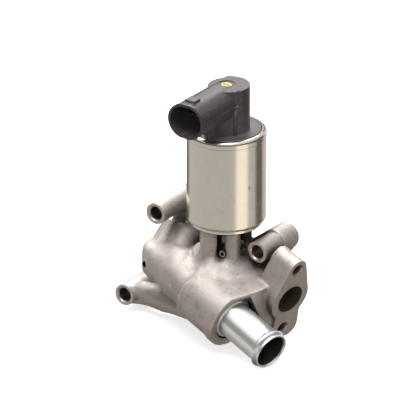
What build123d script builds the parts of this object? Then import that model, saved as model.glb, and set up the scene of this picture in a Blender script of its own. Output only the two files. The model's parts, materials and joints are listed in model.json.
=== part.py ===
from build123d import *
from math import cos, radians, sin
import os

os.makedirs("parts", exist_ok=True)

# Exhaust gas recirculation valve on a die-cast housing that also carries coolant.
# Millimetres. The origin is the centre of the gas inlet on the machined mounting face.
# +Y points into the engine, so the whole part lies at negative Y. +Z is the valve axis.

# Fits
running_gap = 0.05
seat_gap = 0.03
valve_seat_gap = 0.2
loose_gap = 0.3
spring_gap = 0.1
edge_break = 0.4

# Mounting face, bosses and ports
valve_offset = 27.0
plate_thickness = 9.0
boss_hole_radius = 4.15
boss_radius = 6.75
boss_root_radius = 8.3
boss_root_length = 15.0
boss_chamfer = 0.8
upper_web_radius = 4.6
upper_web_length = 15.0
lower_web_radius = 9.0
lower_web_end = (-14.0, -20.0)
lower_web_face = 28.0
lower_web_depth = 10.0
lower_ridge_radius = 6.6
lower_ridge_start = (-44.0, -34.5, -21.2)
lower_ridge_end = (-20.0, -36.0, -22.5)
lower_knob_radius = 6.3
lower_knob_centre = (-55.0, -34.0, -19.6)
right_boss = (26.4, 25.9)
right_boss_length = 33.0
upper_boss = (-42.3, 37.0)
lower_boss = (-65.4, -22.4)
left_boss_length = 41.0
screw_bosses = ((right_boss, right_boss_length), (upper_boss, left_boss_length),
                (lower_boss, left_boss_length))
gas_inlet_radius = 8.0
gas_inlet_length = 10.0
gas_pad_wall = 5.0
gas_passage_radius = 6.9
coolant_port = (-38.5, 12.5)
coolant_port_radius = 8.0
coolant_bore_radius = 9.5
coolant_wall = 3.2
port_pad = (-37.0, 19.5)
port_pad_radius = 14.4
port_face_length = 20.0
duct_roof_radius = 11.3
duct_roof_end = (-43.6, -16.0, 15.4)
duct_roof_rise = 8.7

# Slanted coolant barrel and gas outlet, which share one direction
barrel_tilt = 17.6
barrel_yaw = 12.3
socket_rim = (23.7, -53.0, -11.5)
socket_radius = 18.5
socket_length = 32.0
socket_lobe_radius = 18.0
socket_lobe_shift = 0.9
socket_lobe_length = 6.0
barrel_radius = 15.5
barrel_length = 36.0
barrel_nose_length = 17.0
barrel_nose_radius = 11.0
barrel_end_fillet = 5.0
barrel_bore_stop = 10.0
end_boss_shift = (-9.7, 2.7)
end_boss_radius = 11.7
end_boss_floor = -2.0
end_boss_top = 18.0
end_boss_fillet = 5.0
elbow_radius = 14.0
elbow_shift = (-4.5, 1.0)
blind_hole_angle = 255.0
blind_hole_height = 7.0
blind_hole_radius = 2.1
blind_hole_depth = 7.0
blind_hole_stand_off = 3.0
socket_counterbore_radius = 14.0
socket_counterbore_depth = 4.0

# Gas outlet flange, given across (h), up (w) and forward (b) of the socket rim
outlet_across = 30.3
outlet_up = 14.3
outlet_forward = 13.2
outlet_radius = 9.4
outlet_bore_length = 12.0
outlet_duct_radius = 6.8
duct_start_setback = 3.0
duct_start_rise = 1.2
duct_wall = 4.6
flange_thickness = 4.2
flange_mid_radius = 14.3
flange_lobe_radius = 7.0
flange_waist = 5.5
flange_foot_radius = 7.4
flange_foot_near = -0.8
flange_foot_far = 4.4
flange_bolt_spacing = 44.0
flange_hole_radius = 3.4
flange_hole_depth = 16.0
flange_lug_length = 17.5
flange_lug_setback = 0.4
web_top = 18.9
web_depth = 3.5
web_slope = 10.0
web_left = 7.0
web_nose = 4.0
web_reach = 5.8
gusset_across = 10.3
gusset_slope = 23.8
gusset_waist = 24.0
gusset_length = 38.0
gusset_toe = 7.0
gusset_thickness = 4.5
gusset_fill = 5.0

# Valve chamber and deck
deck_height = 19.4
deck_thickness = 6.0
deck_radius = 19.6
deck_skirt = 6.0
chamber_wall = 4.5
upper_chamber_radius = 10.0
upper_chamber_floor = 2.0
chamber_roof_wall = 4.4
lower_chamber_radius = 7.5
lower_chamber_floor = -15.0
lower_chamber_mid = -8.0
seat_radius = 9.2
seat_height = 4.0
seat_throat_radius = 6.0
seat_chamfer = 1.4
plug_radius = 8.6
plug_height = 4.0
plug_wall = 1.2

# Stem guide tower, cross pin and posts
tower_radius = 8.0
tower_height = 7.6
guide_radius = 5.5
guide_shoulder = 1.4
pin_across = 7.0
pin_above_deck = 3.6
pin_radius = 2.1
pin_hole_radius = 1.25
pin_length = 14.5
pin_inset = 5.0
pin_boss_radius = 3.4
scraper_radius = 7.4
scraper_height = 4.2
scraper_wall = 0.6
post_radius = 4.8
post_circle_radius = 15.05
post_angles = (-101, -41, 79, 136)
post_height = 18.3
post_foot_height = 2.2
post_foot_flare = 1.8
post_foot_taper = 28.0
pin_boss_recess = 3.5

# Solenoid
base_plate_radius = 21.6
base_plate_thickness = 2.3
base_plate_hole = 7.5
screw_radius = 1.65
screw_head_radius = 3.4
screw_head_height = 1.7
screw_length = 12.0
screw_socket_radius = 1.2
screw_socket_depth = 0.9
can_radius = 24.0
can_height = 59.0
can_wall = 1.6
can_corner = 2.2
can_rim_swell = 0.4
can_rim_height = 5.0
can_lip = 1.2
can_floor_hole = 14.0
lower_pole_thickness = 5.0
lower_pole_rise = 3.0
lower_pole_rise_radius = 8.0
bush_radius = 4.6
bush_height = 8.0
bobbin_flange = 2.0
bobbin_wall = 1.4
sleeve_wall = 0.7
coil_margin = 0.7
coil_groove_count = 18
coil_groove = 0.5
armature_radius = 11.1
armature_length = 22.0
armature_rest_gap = 1.0
armature_vent_radius = 1.2
armature_vent_circle = 8.4
spring_pocket_radius = 6.2
spring_pocket_depth = 6.0
armature_bridge = 2.0
armature_bevel = 0.5
pole_pocket_depth = 8.0
pole_stop_gap = 0.5
pole_nose = 1.0
flux_washer_thickness = 4.0
pole_head_radius = 13.0
pole_head_height = 1.0

# Moving valve
lift = 4.5
stem_radius = 3.0
pintle_radius = 7.6
pintle_rim = 1.6
pintle_cone = 3.0
pintle_tip_radius = 4.6
pintle_back = 3.2
pintle_shoulder = 0.8
pintle_rest_depth = 0.6
stem_point = 0.5
return_spring_radius = 4.9
return_spring_wire = 0.6
return_spring_turns = 5
plunger_radius = 2.2
plunger_foot = 1.1
wiper_width = 7.0
wiper_height = 5.0
wiper_depth = 6.0
wiper_arm = 1.3
sensor_spring_radius = 3.0
sensor_spring_wire = 0.35
sensor_spring_turns = 6

# Cap with plug socket
cap_base_thickness = 6.7
cap_proud = 0.3
cap_radius = 21.6
cap_edge_fillet = 0.8
turret_radius = 12.8
turret_shift = 1.75
turret_height = 28.4
turret_step = 1.0
turret_step_edge = 6.5
turret_slot_angle = -29.3
turret_slot_width = 1.4
turret_slot_depth = 1.2
turret_slot_height = 10.0
cavity_radius = 7.6
cavity_roof_wall = 0.5
wiper_headroom = 5.5
board_thickness = 1.2
board_height = 24.0
board_width = 6.0
board_face = 5.6
plug_across = 25.0
plug_tall = 21.4
plug_centre_height = 18.4
plug_reach = 43.0
plug_wall_thickness = 1.4
plug_socket_depth = 24.0
plug_lip = 0.3
plug_lip_length = 1.6
latch_width = 7.0
latch_length = 6.0
latch_height = 1.7
support_rib_width = 2.4
terminal_count = 5
terminal_pitch = 3.4
terminal_width = 1.5
terminal_thickness = 0.8
terminal_reach = 12.0
terminal_tail = 3.0
terminal_tip = 0.25
insert_radius = 3.7
insert_height = 4.0
insert_recess_radius = 5.2
insert_recess_depth = 0.7
insert_slot_width = 1.1
insert_slot_length = 5.2
seal_radius = 0.85

# Steel hose spigot
spigot_radius = 11.25
spigot_wall = 1.0
spigot_reach = 34.5
spigot_seat_depth = 13.0
spigot_bead_radius = 12.75
spigot_bead_width = 4.0
spigot_bead_setback = 1.6
spigot_collar_radius = 13.2
spigot_collar_width = 1.4

# Worked out from the sizes above
can_floor = deck_height + post_height + base_plate_thickness
can_top = can_floor + can_height
can_inner_radius = can_radius - can_wall
cap_disc_top = can_top + cap_proud
cap_floor = cap_disc_top - cap_base_thickness
washer_top = cap_floor
lower_pole_floor = can_floor + can_wall
bobbin_floor = lower_pole_floor + lower_pole_thickness
bobbin_top = washer_top - flux_washer_thickness
bobbin_height = bobbin_top - bobbin_floor
sleeve_radius = armature_radius + running_gap + sleeve_wall
bobbin_bore = sleeve_radius + seat_gap
bobbin_tube = bobbin_bore + bobbin_wall
bobbin_radius = can_inner_radius - loose_gap
coil_radius = bobbin_radius - coil_margin
armature_floor = bobbin_floor + lower_pole_rise + armature_rest_gap
armature_top = armature_floor + armature_length
spring_floor = armature_top - spring_pocket_depth
pole_face = armature_top + lift + pole_stop_gap
pole_pocket_roof = pole_face + pole_pocket_depth
turret_top = cap_disc_top + turret_height
cavity_top = turret_top - insert_recess_depth - insert_height - cavity_roof_wall
cavity_height = cavity_top - cap_floor
plug_centre = cap_disc_top + plug_centre_height
seal_height = cap_floor + (cap_base_thickness - cap_proud - can_lip) / 2
seal_groove_radius = can_inner_radius - 2 * seal_radius - 0.1
wiper_floor = cavity_top - wiper_height - lift - wiper_headroom
upper_chamber_outer = upper_chamber_radius + chamber_wall
upper_chamber_roof = deck_height - chamber_roof_wall
coolant_outer = coolant_port_radius + coolant_wall
seat_floor = upper_chamber_floor - seat_height
guide_floor = upper_chamber_roof - loose_gap
pin_height = deck_height + pin_above_deck
tower_top = deck_height + tower_height
guide_top = tower_top + scraper_height - scraper_wall - loose_gap
guide_height = guide_top - guide_floor

# Frames of the slanted features: x runs across (h), y up (w) and z forward (b)
tilt = radians(barrel_tilt)
yaw = radians(barrel_yaw)
barrel_axis = Vector(cos(tilt) * cos(yaw), -cos(tilt) * sin(yaw), -sin(tilt))
across_axis = Vector(sin(yaw), cos(yaw), 0)
up_axis = barrel_axis.cross(across_axis)
rim_plane = Plane(origin=socket_rim, x_dir=across_axis, z_dir=barrel_axis)
outlet_centre = rim_plane.from_local_coords((outlet_across, outlet_up, outlet_forward))
outlet_plane = Plane(origin=outlet_centre, x_dir=across_axis, z_dir=barrel_axis)
valve_centre = Vector(0, -valve_offset, 0)


def valve_plane(height):
    """Horizontal plane on the valve axis."""
    return Plane(origin=(0, -valve_offset, height))


def post_foot(angle, height):
    """Centre of a post at the given angle, at a height."""
    return (post_circle_radius * cos(radians(angle)),
            post_circle_radius * sin(radians(angle)) - valve_offset, height)


def cross_plane(start, end):
    """Plane through start, facing end."""
    return Plane(origin=start, z_dir=Vector(end) - Vector(start))


def distance(start, end):
    return (Vector(end) - Vector(start)).length


def revolved(outline, height=0.0):
    """Profile points (radius, height) turned once about the valve axis."""
    with BuildPart() as turned:
        with BuildSketch(Plane(origin=(0, -valve_offset, height), x_dir=(1, 0, 0), z_dir=(0, -1, 0))):
            with BuildLine():
                Polyline(*outline, close=True)
            make_face()
        revolve(axis=Axis(valve_centre, (0, 0, 1)))
    return turned.part


def finish(builder, name):
    builder.part.label = name
    export_step(builder.part, f"parts/{name}.step")


def tube_between(start, end, radius, start_ball=False, end_ball=False, mode=Mode.ADD):
    """Round bar between two points, inside the running part."""
    with BuildSketch(cross_plane(start, end)) as section:
        Circle(radius)
    extrude(section.sketch, amount=distance(start, end), mode=mode)
    for point, wanted in ((start, start_ball), (end, end_ball)):
        if wanted:
            with Locations(point):
                Sphere(radius, mode=mode)


def hull_web(circles, thickness, face=0.0):
    """Flat web round circles given as (x, z, radius), behind the mounting face."""
    with BuildSketch(Plane.XZ.offset(face)) as outline:
        for x, z, radius in circles:
            with Locations((x, z)):
                Circle(radius)
        make_hull()
    extrude(outline.sketch, amount=thickness)


# Points on the two inner routes
duct_turn = rim_plane.from_local_coords((0, 0, -(socket_length + barrel_length - barrel_bore_stop)))
end_boss_centre = (duct_turn.X + end_boss_shift[0], duct_turn.Y + end_boss_shift[1])
elbow_centre = duct_turn + Vector(*elbow_shift, 0)
duct_roof_start = (*end_boss_centre, duct_roof_end[2] - duct_roof_rise)
coolant_face = Vector(coolant_port[0], 0, coolant_port[1])
coolant_neck = coolant_face - Vector(0, port_face_length, 0)
gas_neck = Vector(0, -gas_inlet_length, 0)
pin_start = (pin_across, -valve_offset + pin_inset, pin_height)
pin_plane = Plane(origin=pin_start, x_dir=(1, 0, 0), z_dir=(0, -1, 0))
blind_hole_side = Vector(cos(radians(blind_hole_angle)), sin(radians(blind_hole_angle)), 0)
blind_hole_mouth = Vector(*end_boss_centre, blind_hole_height) + blind_hole_side * end_boss_radius
blind_hole_plane = Plane(origin=blind_hole_mouth, z_dir=blind_hole_side)
lower_chamber_centre = Vector(0, -valve_offset, lower_chamber_mid)
duct_height = upper_chamber_roof - outlet_duct_radius + duct_start_rise
duct_start = Vector(0, -valve_offset + duct_start_setback, duct_height)
outlet_neck = outlet_plane.from_local_coords((0, 0, -outlet_bore_length))

# Housing, cast aluminium
with BuildPart() as housing:
    # slanted coolant barrel with its wider hose socket
    with BuildSketch(rim_plane.offset(-socket_length - barrel_length)):
        Circle(barrel_nose_radius)
    with BuildSketch(rim_plane.offset(-socket_length - barrel_length + barrel_nose_length)):
        Circle(barrel_radius)
    loft()
    fillet(housing.faces().sort_by(Axis(socket_rim, barrel_axis))[0].edges(), barrel_end_fillet)
    with BuildSketch(rim_plane.offset(-socket_length - barrel_length + barrel_nose_length)):
        Circle(barrel_radius)
    extrude(amount=socket_length + barrel_length - barrel_nose_length)
    with BuildSketch(rim_plane.offset(-socket_length)):
        Circle(socket_radius)
    extrude(amount=socket_length)
    with BuildSketch(rim_plane.offset(-socket_lobe_length)):
        with Locations((-socket_lobe_shift, -socket_lobe_shift)):
            Circle(socket_lobe_radius)
    extrude(amount=socket_lobe_length)
    # upright boss at the closed end of the barrel
    with BuildPart(mode=Mode.PRIVATE) as end_boss:
        with BuildSketch(Plane(origin=(*end_boss_centre, end_boss_floor))):
            Circle(end_boss_radius)
        extrude(amount=end_boss_top - end_boss_floor)
        fillet(end_boss.edges().group_by(Axis.Z)[-1], end_boss_fillet)
    add(end_boss.part)
    # rounded elbow between the barrel and that boss
    with Locations(elbow_centre):
        Sphere(elbow_radius)
    # duct from the barrel to the coolant port, under a rounded roof that ends short of the plate
    tube_between(duct_roof_start, duct_roof_end, duct_roof_radius, start_ball=True)
    tube_between(duct_turn, coolant_neck, coolant_outer)
    tube_between(coolant_neck, coolant_face, coolant_outer, start_ball=True)
    # valve chamber, deck and guide tower
    with BuildSketch(valve_plane(lower_chamber_floor - plug_height)):
        Circle(upper_chamber_outer)
    extrude(amount=deck_height - lower_chamber_floor + plug_height)
    with BuildSketch(valve_plane(deck_height - deck_thickness)):
        Circle(deck_radius + deck_skirt)
    extrude(amount=deck_thickness, taper=45)
    # gas duct and outlet flange
    tube_between(duct_start, outlet_neck, outlet_duct_radius + duct_wall, end_ball=True)
    with BuildSketch(outlet_plane.offset(-flange_thickness)):
        Circle(flange_mid_radius)
        with Locations((0, flange_bolt_spacing / 2)):
            Circle(flange_lobe_radius)
        make_hull()
        with BuildSketch(mode=Mode.PRIVATE) as foot:
            Circle(flange_mid_radius - flange_waist)
            with Locations((flange_foot_near, -flange_bolt_spacing / 2),
                           (flange_foot_far, -flange_bolt_spacing / 2)):
                Circle(flange_foot_radius)
            make_hull()
        add(foot.sketch)
    extrude(amount=flange_thickness)
    with BuildSketch(outlet_plane.offset(-flange_lug_length)):
        Circle(flange_mid_radius - flange_lug_setback)
        with Locations((0, flange_bolt_spacing / 2)):
            Circle(flange_lobe_radius - flange_lug_setback)
        make_hull()
    extrude(amount=flange_lug_length)
    # web that bridges the socket and the gas duct, rising towards the outlet
    web_rise = radians(web_slope)
    web_right = across_axis * cos(web_rise) + up_axis * sin(web_rise)
    web_normal = up_axis * cos(web_rise) - across_axis * sin(web_rise)
    web_plane = Plane(origin=rim_plane.from_local_coords((0, web_top, 0)), x_dir=web_right, z_dir=web_normal)
    with BuildSketch(web_plane):
        with BuildLine():
            Polyline((-web_left, 0), (gusset_across, -web_nose), (outlet_across, -web_reach),
                     (outlet_across, socket_length / 2), (-web_left, socket_length), close=True)
        make_face()
    extrude(amount=-web_depth)
    # gusset from the web's front edge down to the foot of the flange
    gusset_lean = radians(gusset_slope)
    gusset_up = up_axis * cos(gusset_lean) - across_axis * sin(gusset_lean)
    gusset_plane = Plane(origin=rim_plane.from_local_coords((gusset_across, web_top + 1, 0)),
                         x_dir=barrel_axis, z_dir=barrel_axis.cross(gusset_up))
    gusset_front = outlet_forward - 2
    with BuildSketch(gusset_plane) as gusset_side:
        with BuildLine():
            Polyline((-socket_length / 2, -1), (web_nose, -1), (gusset_front, -gusset_waist),
                     (gusset_front, gusset_toe - gusset_length), (0, -gusset_length),
                     (-socket_length / 2, -gusset_length), close=True)
        make_face()
    extrude(amount=-gusset_thickness)
    extrude(gusset_side.sketch, amount=gusset_fill)
    # mounting plate: port pads, boss roots and the webs between them
    gas_pad = (0, 0, gas_inlet_radius + gas_pad_wall)
    coolant_pad = (*port_pad, port_pad_radius)
    for web in ((gas_pad, coolant_pad), (coolant_pad, (*upper_boss, boss_radius)),
                (gas_pad, (*right_boss, boss_root_radius)), (coolant_pad, (*lower_boss, boss_radius)),
                (gas_pad, (*lower_boss, boss_root_radius - 1.5))):
        hull_web(web, plate_thickness)
    # gas inlet pad reaching the valve chamber
    tube_between((0, 0, 0), gas_neck, gas_inlet_radius + gas_pad_wall)
    tube_between(gas_neck, lower_chamber_centre, gas_inlet_radius + gas_pad_wall - 1, start_ball=True)
    # screw bosses and the wider root of the right one
    for (x, z), length in screw_bosses:
        with BuildSketch(Plane.XZ):
            with Locations((x, z)):
                Circle(boss_radius)
        extrude(amount=length)
    with BuildSketch(Plane.XZ):
        with Locations(right_boss):
            Circle(boss_root_radius)
    extrude(amount=boss_root_length)
    # web under the upper boss, along the top of the coolant duct
    hull_web(((*upper_boss, upper_web_radius), (upper_boss[0] + 1.5, port_pad[1], upper_web_radius)),
             upper_web_length)
    # web from the lower boss along the underside of the barrel
    hull_web(((*lower_boss, boss_radius - 0.8), (*lower_web_end, lower_web_radius)), lower_web_depth,
             face=lower_web_face)
    # rounded rib and knob on the face of that web
    tube_between(lower_ridge_start, lower_ridge_end, lower_ridge_radius, start_ball=True, end_ball=True)
    with Locations(lower_knob_centre):
        Sphere(lower_knob_radius)
    # guide tower with the boss of the cross pin, and the four posts
    with BuildPart(mode=Mode.PRIVATE) as guide_tower:
        with BuildSketch(valve_plane(deck_height - deck_thickness / 2)):
            Circle(tower_radius)
        extrude(amount=tower_height + deck_thickness / 2)
        with BuildSketch(pin_plane.offset(pin_inset)):
            Circle(pin_boss_radius)
            with Locations((0, -pin_above_deck)):
                Rectangle(2 * pin_boss_radius - 1, 2 * pin_above_deck)
        extrude(amount=pin_length - pin_boss_recess)
    add(guide_tower.part)
    for angle in post_angles:
        with BuildPart(mode=Mode.PRIVATE) as post:
            with BuildSketch(Plane(origin=post_foot(angle, deck_height - deck_thickness / 2))):
                Circle(post_radius)
            extrude(amount=post_height + deck_thickness / 2)
            with BuildSketch(Plane(origin=post_foot(angle, deck_height - 1))):
                Circle(post_radius + post_foot_flare)
            extrude(amount=1 + post_foot_height, taper=post_foot_taper)
        add(post.part)

    # machined mounting face
    split(bisect_by=Plane.XZ, keep=Keep.TOP)

    # bores and chambers
    tube_between(duct_turn, rim_plane.origin, coolant_bore_radius, start_ball=True, mode=Mode.SUBTRACT)
    tube_between(duct_turn, coolant_neck, coolant_port_radius, end_ball=True, mode=Mode.SUBTRACT)
    tube_between(coolant_neck, coolant_face + Vector(0, 1, 0), coolant_port_radius, mode=Mode.SUBTRACT)
    with BuildSketch(rim_plane.offset(-spigot_seat_depth)):
        Circle(spigot_radius + seat_gap)
    extrude(amount=spigot_seat_depth + 1, mode=Mode.SUBTRACT)
    with BuildSketch(rim_plane.offset(-socket_counterbore_depth)):
        Circle(socket_counterbore_radius)
    extrude(amount=socket_counterbore_depth + 1, mode=Mode.SUBTRACT)
    with BuildSketch(valve_plane(upper_chamber_floor)):
        Circle(upper_chamber_radius)
    extrude(amount=upper_chamber_roof - upper_chamber_floor, mode=Mode.SUBTRACT)
    with BuildSketch(valve_plane(seat_floor)):
        Circle(seat_radius + seat_gap)
    extrude(amount=seat_height, mode=Mode.SUBTRACT)
    with BuildSketch(valve_plane(lower_chamber_floor)):
        Circle(lower_chamber_radius)
    extrude(amount=seat_floor - lower_chamber_floor, mode=Mode.SUBTRACT)
    with BuildSketch(valve_plane(lower_chamber_floor - plug_height - 1)):
        Circle(plug_radius + seat_gap)
    extrude(amount=plug_height + 1, mode=Mode.SUBTRACT)
    tube_between((0, 1, 0), gas_neck, gas_inlet_radius, end_ball=True, mode=Mode.SUBTRACT)
    tube_between(gas_neck, lower_chamber_centre, gas_passage_radius, mode=Mode.SUBTRACT)
    tube_between(duct_start, outlet_neck, outlet_duct_radius, end_ball=True, mode=Mode.SUBTRACT)
    with BuildSketch(outlet_plane.offset(-outlet_bore_length)):
        Circle(outlet_radius)
    extrude(amount=outlet_bore_length + 1, mode=Mode.SUBTRACT)
    # stem guide bore, pin bore and screw holes in the posts
    with BuildSketch(valve_plane(upper_chamber_roof - 1)):
        Circle(guide_radius + seat_gap)
    extrude(amount=tower_top - upper_chamber_roof + 2, mode=Mode.SUBTRACT)
    with BuildSketch(pin_plane):
        Circle(pin_radius + seat_gap)
    extrude(amount=pin_length + pin_inset, mode=Mode.SUBTRACT)
    for angle in post_angles:
        with BuildSketch(Plane(origin=post_foot(angle, deck_height + post_height - screw_length))):
            Circle(screw_radius + seat_gap)
        extrude(amount=screw_length + 1, mode=Mode.SUBTRACT)
    for (x, z), length in screw_bosses:
        with BuildSketch(Plane.XZ.offset(-1)):
            with Locations((x, z)):
                Circle(boss_hole_radius)
        extrude(amount=length + 2, mode=Mode.SUBTRACT)
        with BuildSketch(Plane.XZ.offset(length - boss_chamfer)):
            with Locations((x, z)):
                Circle(boss_hole_radius)
        extrude(amount=boss_chamfer, taper=-45, mode=Mode.SUBTRACT)
    # blind hole in the closed end of the barrel
    with BuildSketch(blind_hole_plane.offset(blind_hole_stand_off)):
        Circle(blind_hole_radius)
    extrude(amount=-blind_hole_depth - blind_hole_stand_off, mode=Mode.SUBTRACT)
    # tapped holes of the outlet flange
    with BuildSketch(outlet_plane.offset(-flange_hole_depth)):
        with Locations((0, flange_bolt_spacing / 2), (0, -flange_bolt_spacing / 2)):
            Circle(flange_hole_radius)
    extrude(amount=flange_hole_depth + 1, mode=Mode.SUBTRACT)
finish(housing, "housing")

# Steel hose spigot: rolled tube with a stop collar and a bead that holds the hose
spigot_bore = spigot_radius - spigot_wall
bead_start = spigot_reach - spigot_bead_setback - spigot_bead_width
collar_back = -socket_counterbore_depth
collar_front = collar_back + spigot_collar_width
bead_end = bead_start + spigot_bead_width
with BuildPart() as hose_spigot:
    with BuildSketch(Plane(origin=socket_rim, x_dir=across_axis, z_dir=-up_axis)):
        with BuildLine():
            Polyline((spigot_radius, bead_start), (spigot_radius, collar_front),
                     (spigot_collar_radius, collar_front),
                     (spigot_collar_radius, collar_back), (spigot_radius, collar_back),
                     (spigot_radius, -spigot_seat_depth), (spigot_bore, -spigot_seat_depth),
                     (spigot_bore, spigot_reach), (spigot_radius, spigot_reach), (spigot_radius, bead_end))
            ThreePointArc((spigot_radius, bead_end), (spigot_bead_radius, (bead_start + bead_end) / 2),
                          (spigot_radius, bead_start))
        make_face()
    revolve(axis=Axis(socket_rim, barrel_axis))
finish(hose_spigot, "hose_spigot")

# Valve seat ring pressed under the upper chamber
with BuildPart() as valve_seat:
    add(revolved(((seat_throat_radius, 0), (seat_radius, 0), (seat_radius, seat_height),
                  (seat_throat_radius + seat_chamfer, seat_height),
                  (seat_throat_radius, seat_height - seat_chamfer)), seat_floor))
finish(valve_seat, "valve_seat")

# Core plug that closes the lower chamber: a pressed steel cup
with BuildPart() as core_plug:
    add(revolved(((0, plug_height - plug_wall), (plug_radius - plug_wall, plug_height - plug_wall),
                  (plug_radius - plug_wall, 0), (plug_radius, 0), (plug_radius, plug_height),
                  (0, plug_height)),
                 lower_chamber_floor - plug_height))
finish(core_plug, "core_plug")

# Stem guide bush with a shoulder on the tower and a groove for the cross pin
with BuildPart() as stem_guide:
    add(revolved(((stem_radius + running_gap, 0), (guide_radius, 0),
                  (guide_radius, tower_top - guide_floor),
                  (guide_radius + guide_shoulder, tower_top - guide_floor),
                  (guide_radius + guide_shoulder, guide_height), (stem_radius + running_gap, guide_height)),
                 guide_floor))
    with BuildSketch(pin_plane):
        Circle(pin_radius + seat_gap)
    extrude(amount=pin_length + pin_inset, mode=Mode.SUBTRACT)
finish(stem_guide, "stem_guide")

# Hollow cross pin that locks the guide bush
with BuildPart() as guide_pin:
    with BuildSketch(pin_plane):
        Circle(pin_radius)
        Circle(pin_hole_radius, mode=Mode.SUBTRACT)
    extrude(amount=pin_length + pin_inset)
finish(guide_pin, "guide_pin")

# Scraper cup over the guide, which keeps soot off the stem
with BuildPart() as stem_scraper:
    add(revolved(((stem_radius + loose_gap, scraper_height - scraper_wall),
                  (scraper_radius, scraper_height - scraper_wall), (scraper_radius, 0),
                  (scraper_radius + scraper_wall, 0), (scraper_radius + scraper_wall, scraper_height),
                  (stem_radius + loose_gap, scraper_height)), tower_top))
finish(stem_scraper, "stem_scraper")

# Base plate of the solenoid on the four posts
with BuildPart() as base_plate:
    with BuildSketch(valve_plane(deck_height + post_height)):
        Circle(base_plate_radius)
        Circle(base_plate_hole, mode=Mode.SUBTRACT)
    extrude(amount=base_plate_thickness)
    for angle in post_angles:
        with BuildSketch(Plane(origin=post_foot(angle, deck_height + post_height))):
            Circle(screw_radius + loose_gap)
        extrude(amount=base_plate_thickness, mode=Mode.SUBTRACT)
        with BuildSketch(Plane(origin=post_foot(angle, can_floor - screw_head_height - seat_gap))):
            Circle(screw_head_radius + loose_gap)
        extrude(amount=screw_head_height + seat_gap, mode=Mode.SUBTRACT)
    chamfer(base_plate.edges().filter_by(GeomType.CIRCLE).sort_by(lambda edge: -edge.radius)[0:2], edge_break)
finish(base_plate, "base_plate")

# Four cap screws through the base plate into the posts
with BuildPart() as base_screws:
    for angle in post_angles:
        with BuildSketch(Plane(origin=post_foot(angle, can_floor - screw_head_height))):
            Circle(screw_head_radius)
        extrude(amount=screw_head_height - seat_gap)
        with BuildSketch(Plane(origin=post_foot(angle, can_floor - screw_head_height))):
            Circle(screw_radius)
        extrude(amount=-(screw_length - base_plate_thickness))
        with BuildSketch(Plane(origin=post_foot(angle, can_floor - seat_gap))):
            RegularPolygon(screw_socket_radius, 6)
        extrude(amount=-screw_socket_depth, mode=Mode.SUBTRACT)
finish(base_screws, "base_screws")

# Solenoid can: drawn steel cup, crimped over the cap at its rim
lip_radius = cap_radius + seat_gap
with BuildPart() as solenoid_can:
    with BuildSketch(Plane(origin=(0, -valve_offset, can_floor), x_dir=(1, 0, 0), z_dir=(0, -1, 0))):
        with BuildLine():
            Polyline((can_radius, can_corner), (can_radius, can_height - can_rim_height))
            Line((can_radius, can_height - can_rim_height),
                 (can_radius + can_rim_swell, can_height - can_rim_height + can_rim_swell))
            Line((can_radius + can_rim_swell, can_height - can_rim_height + can_rim_swell),
                 (can_radius + can_rim_swell, can_height - can_corner))
            RadiusArc((can_radius + can_rim_swell, can_height - can_corner),
                      (can_radius + can_rim_swell - can_corner, can_height), -can_corner)
            Line((can_radius + can_rim_swell - can_corner, can_height), (lip_radius, can_height))
            Line((lip_radius, can_height), (lip_radius, can_height - can_lip))
            Line((lip_radius, can_height - can_lip), (can_inner_radius, can_height - can_lip))
            Line((can_inner_radius, can_height - can_lip), (can_inner_radius, can_wall))
            Line((can_inner_radius, can_wall), (can_floor_hole, can_wall))
            Line((can_floor_hole, can_wall), (can_floor_hole, 0))
            Line((can_floor_hole, 0), (can_radius - can_corner, 0))
            RadiusArc((can_radius - can_corner, 0), (can_radius, can_corner), -can_corner)
        make_face()
    revolve(axis=Axis(valve_centre, (0, 0, 1)))
finish(solenoid_can, "solenoid_can")

# Lower pole: steel disc with a spigot that the armature tube stands on
with BuildPart() as lower_pole:
    add(revolved(((bush_radius + seat_gap, 0), (can_inner_radius - seat_gap, 0),
                  (can_inner_radius - seat_gap, lower_pole_thickness),
                  (lower_pole_rise_radius, lower_pole_thickness),
                  (lower_pole_rise_radius, lower_pole_thickness + lower_pole_rise),
                  (bush_radius + seat_gap, lower_pole_thickness + lower_pole_rise)), lower_pole_floor))
finish(lower_pole, "lower_pole")

# Bronze bush that guides the stem in the lower pole
with BuildPart() as stem_bush:
    add(revolved(((stem_radius + running_gap, 0), (bush_radius, 0), (bush_radius, bush_height),
                  (stem_radius + running_gap, bush_height)), lower_pole_floor))
finish(stem_bush, "stem_bush")

# Bobbin and its winding
with BuildPart() as bobbin:
    add(revolved(((bobbin_bore, 0), (bobbin_radius, 0), (bobbin_radius, bobbin_flange),
                  (bobbin_tube, bobbin_flange),
                  (bobbin_tube, bobbin_height - bobbin_flange),
                  (bobbin_radius, bobbin_height - bobbin_flange),
                  (bobbin_radius, bobbin_height), (bobbin_bore, bobbin_height)), bobbin_floor))
finish(bobbin, "bobbin")

coil_height = bobbin_height - 2 * (bobbin_flange + seat_gap)
turn_pitch = coil_height / coil_groove_count
coil_outline = [(bobbin_tube + seat_gap, 0)]
for turn in range(coil_groove_count):
    coil_outline += [(coil_radius - coil_groove, turn * turn_pitch), (coil_radius, (turn + 0.5) * turn_pitch)]
coil_outline += [(coil_radius - coil_groove, coil_height), (bobbin_tube + seat_gap, coil_height)]
with BuildPart() as coil_winding:
    add(revolved(coil_outline, bobbin_floor + bobbin_flange + seat_gap))
finish(coil_winding, "coil_winding")

# Tube that the armature slides in
with BuildPart() as armature_sleeve:
    with BuildSketch(valve_plane(bobbin_floor)):
        Circle(sleeve_radius)
        Circle(armature_radius + running_gap, mode=Mode.SUBTRACT)
    extrude(amount=bobbin_height - seat_gap)
finish(armature_sleeve, "armature_sleeve")

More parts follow.
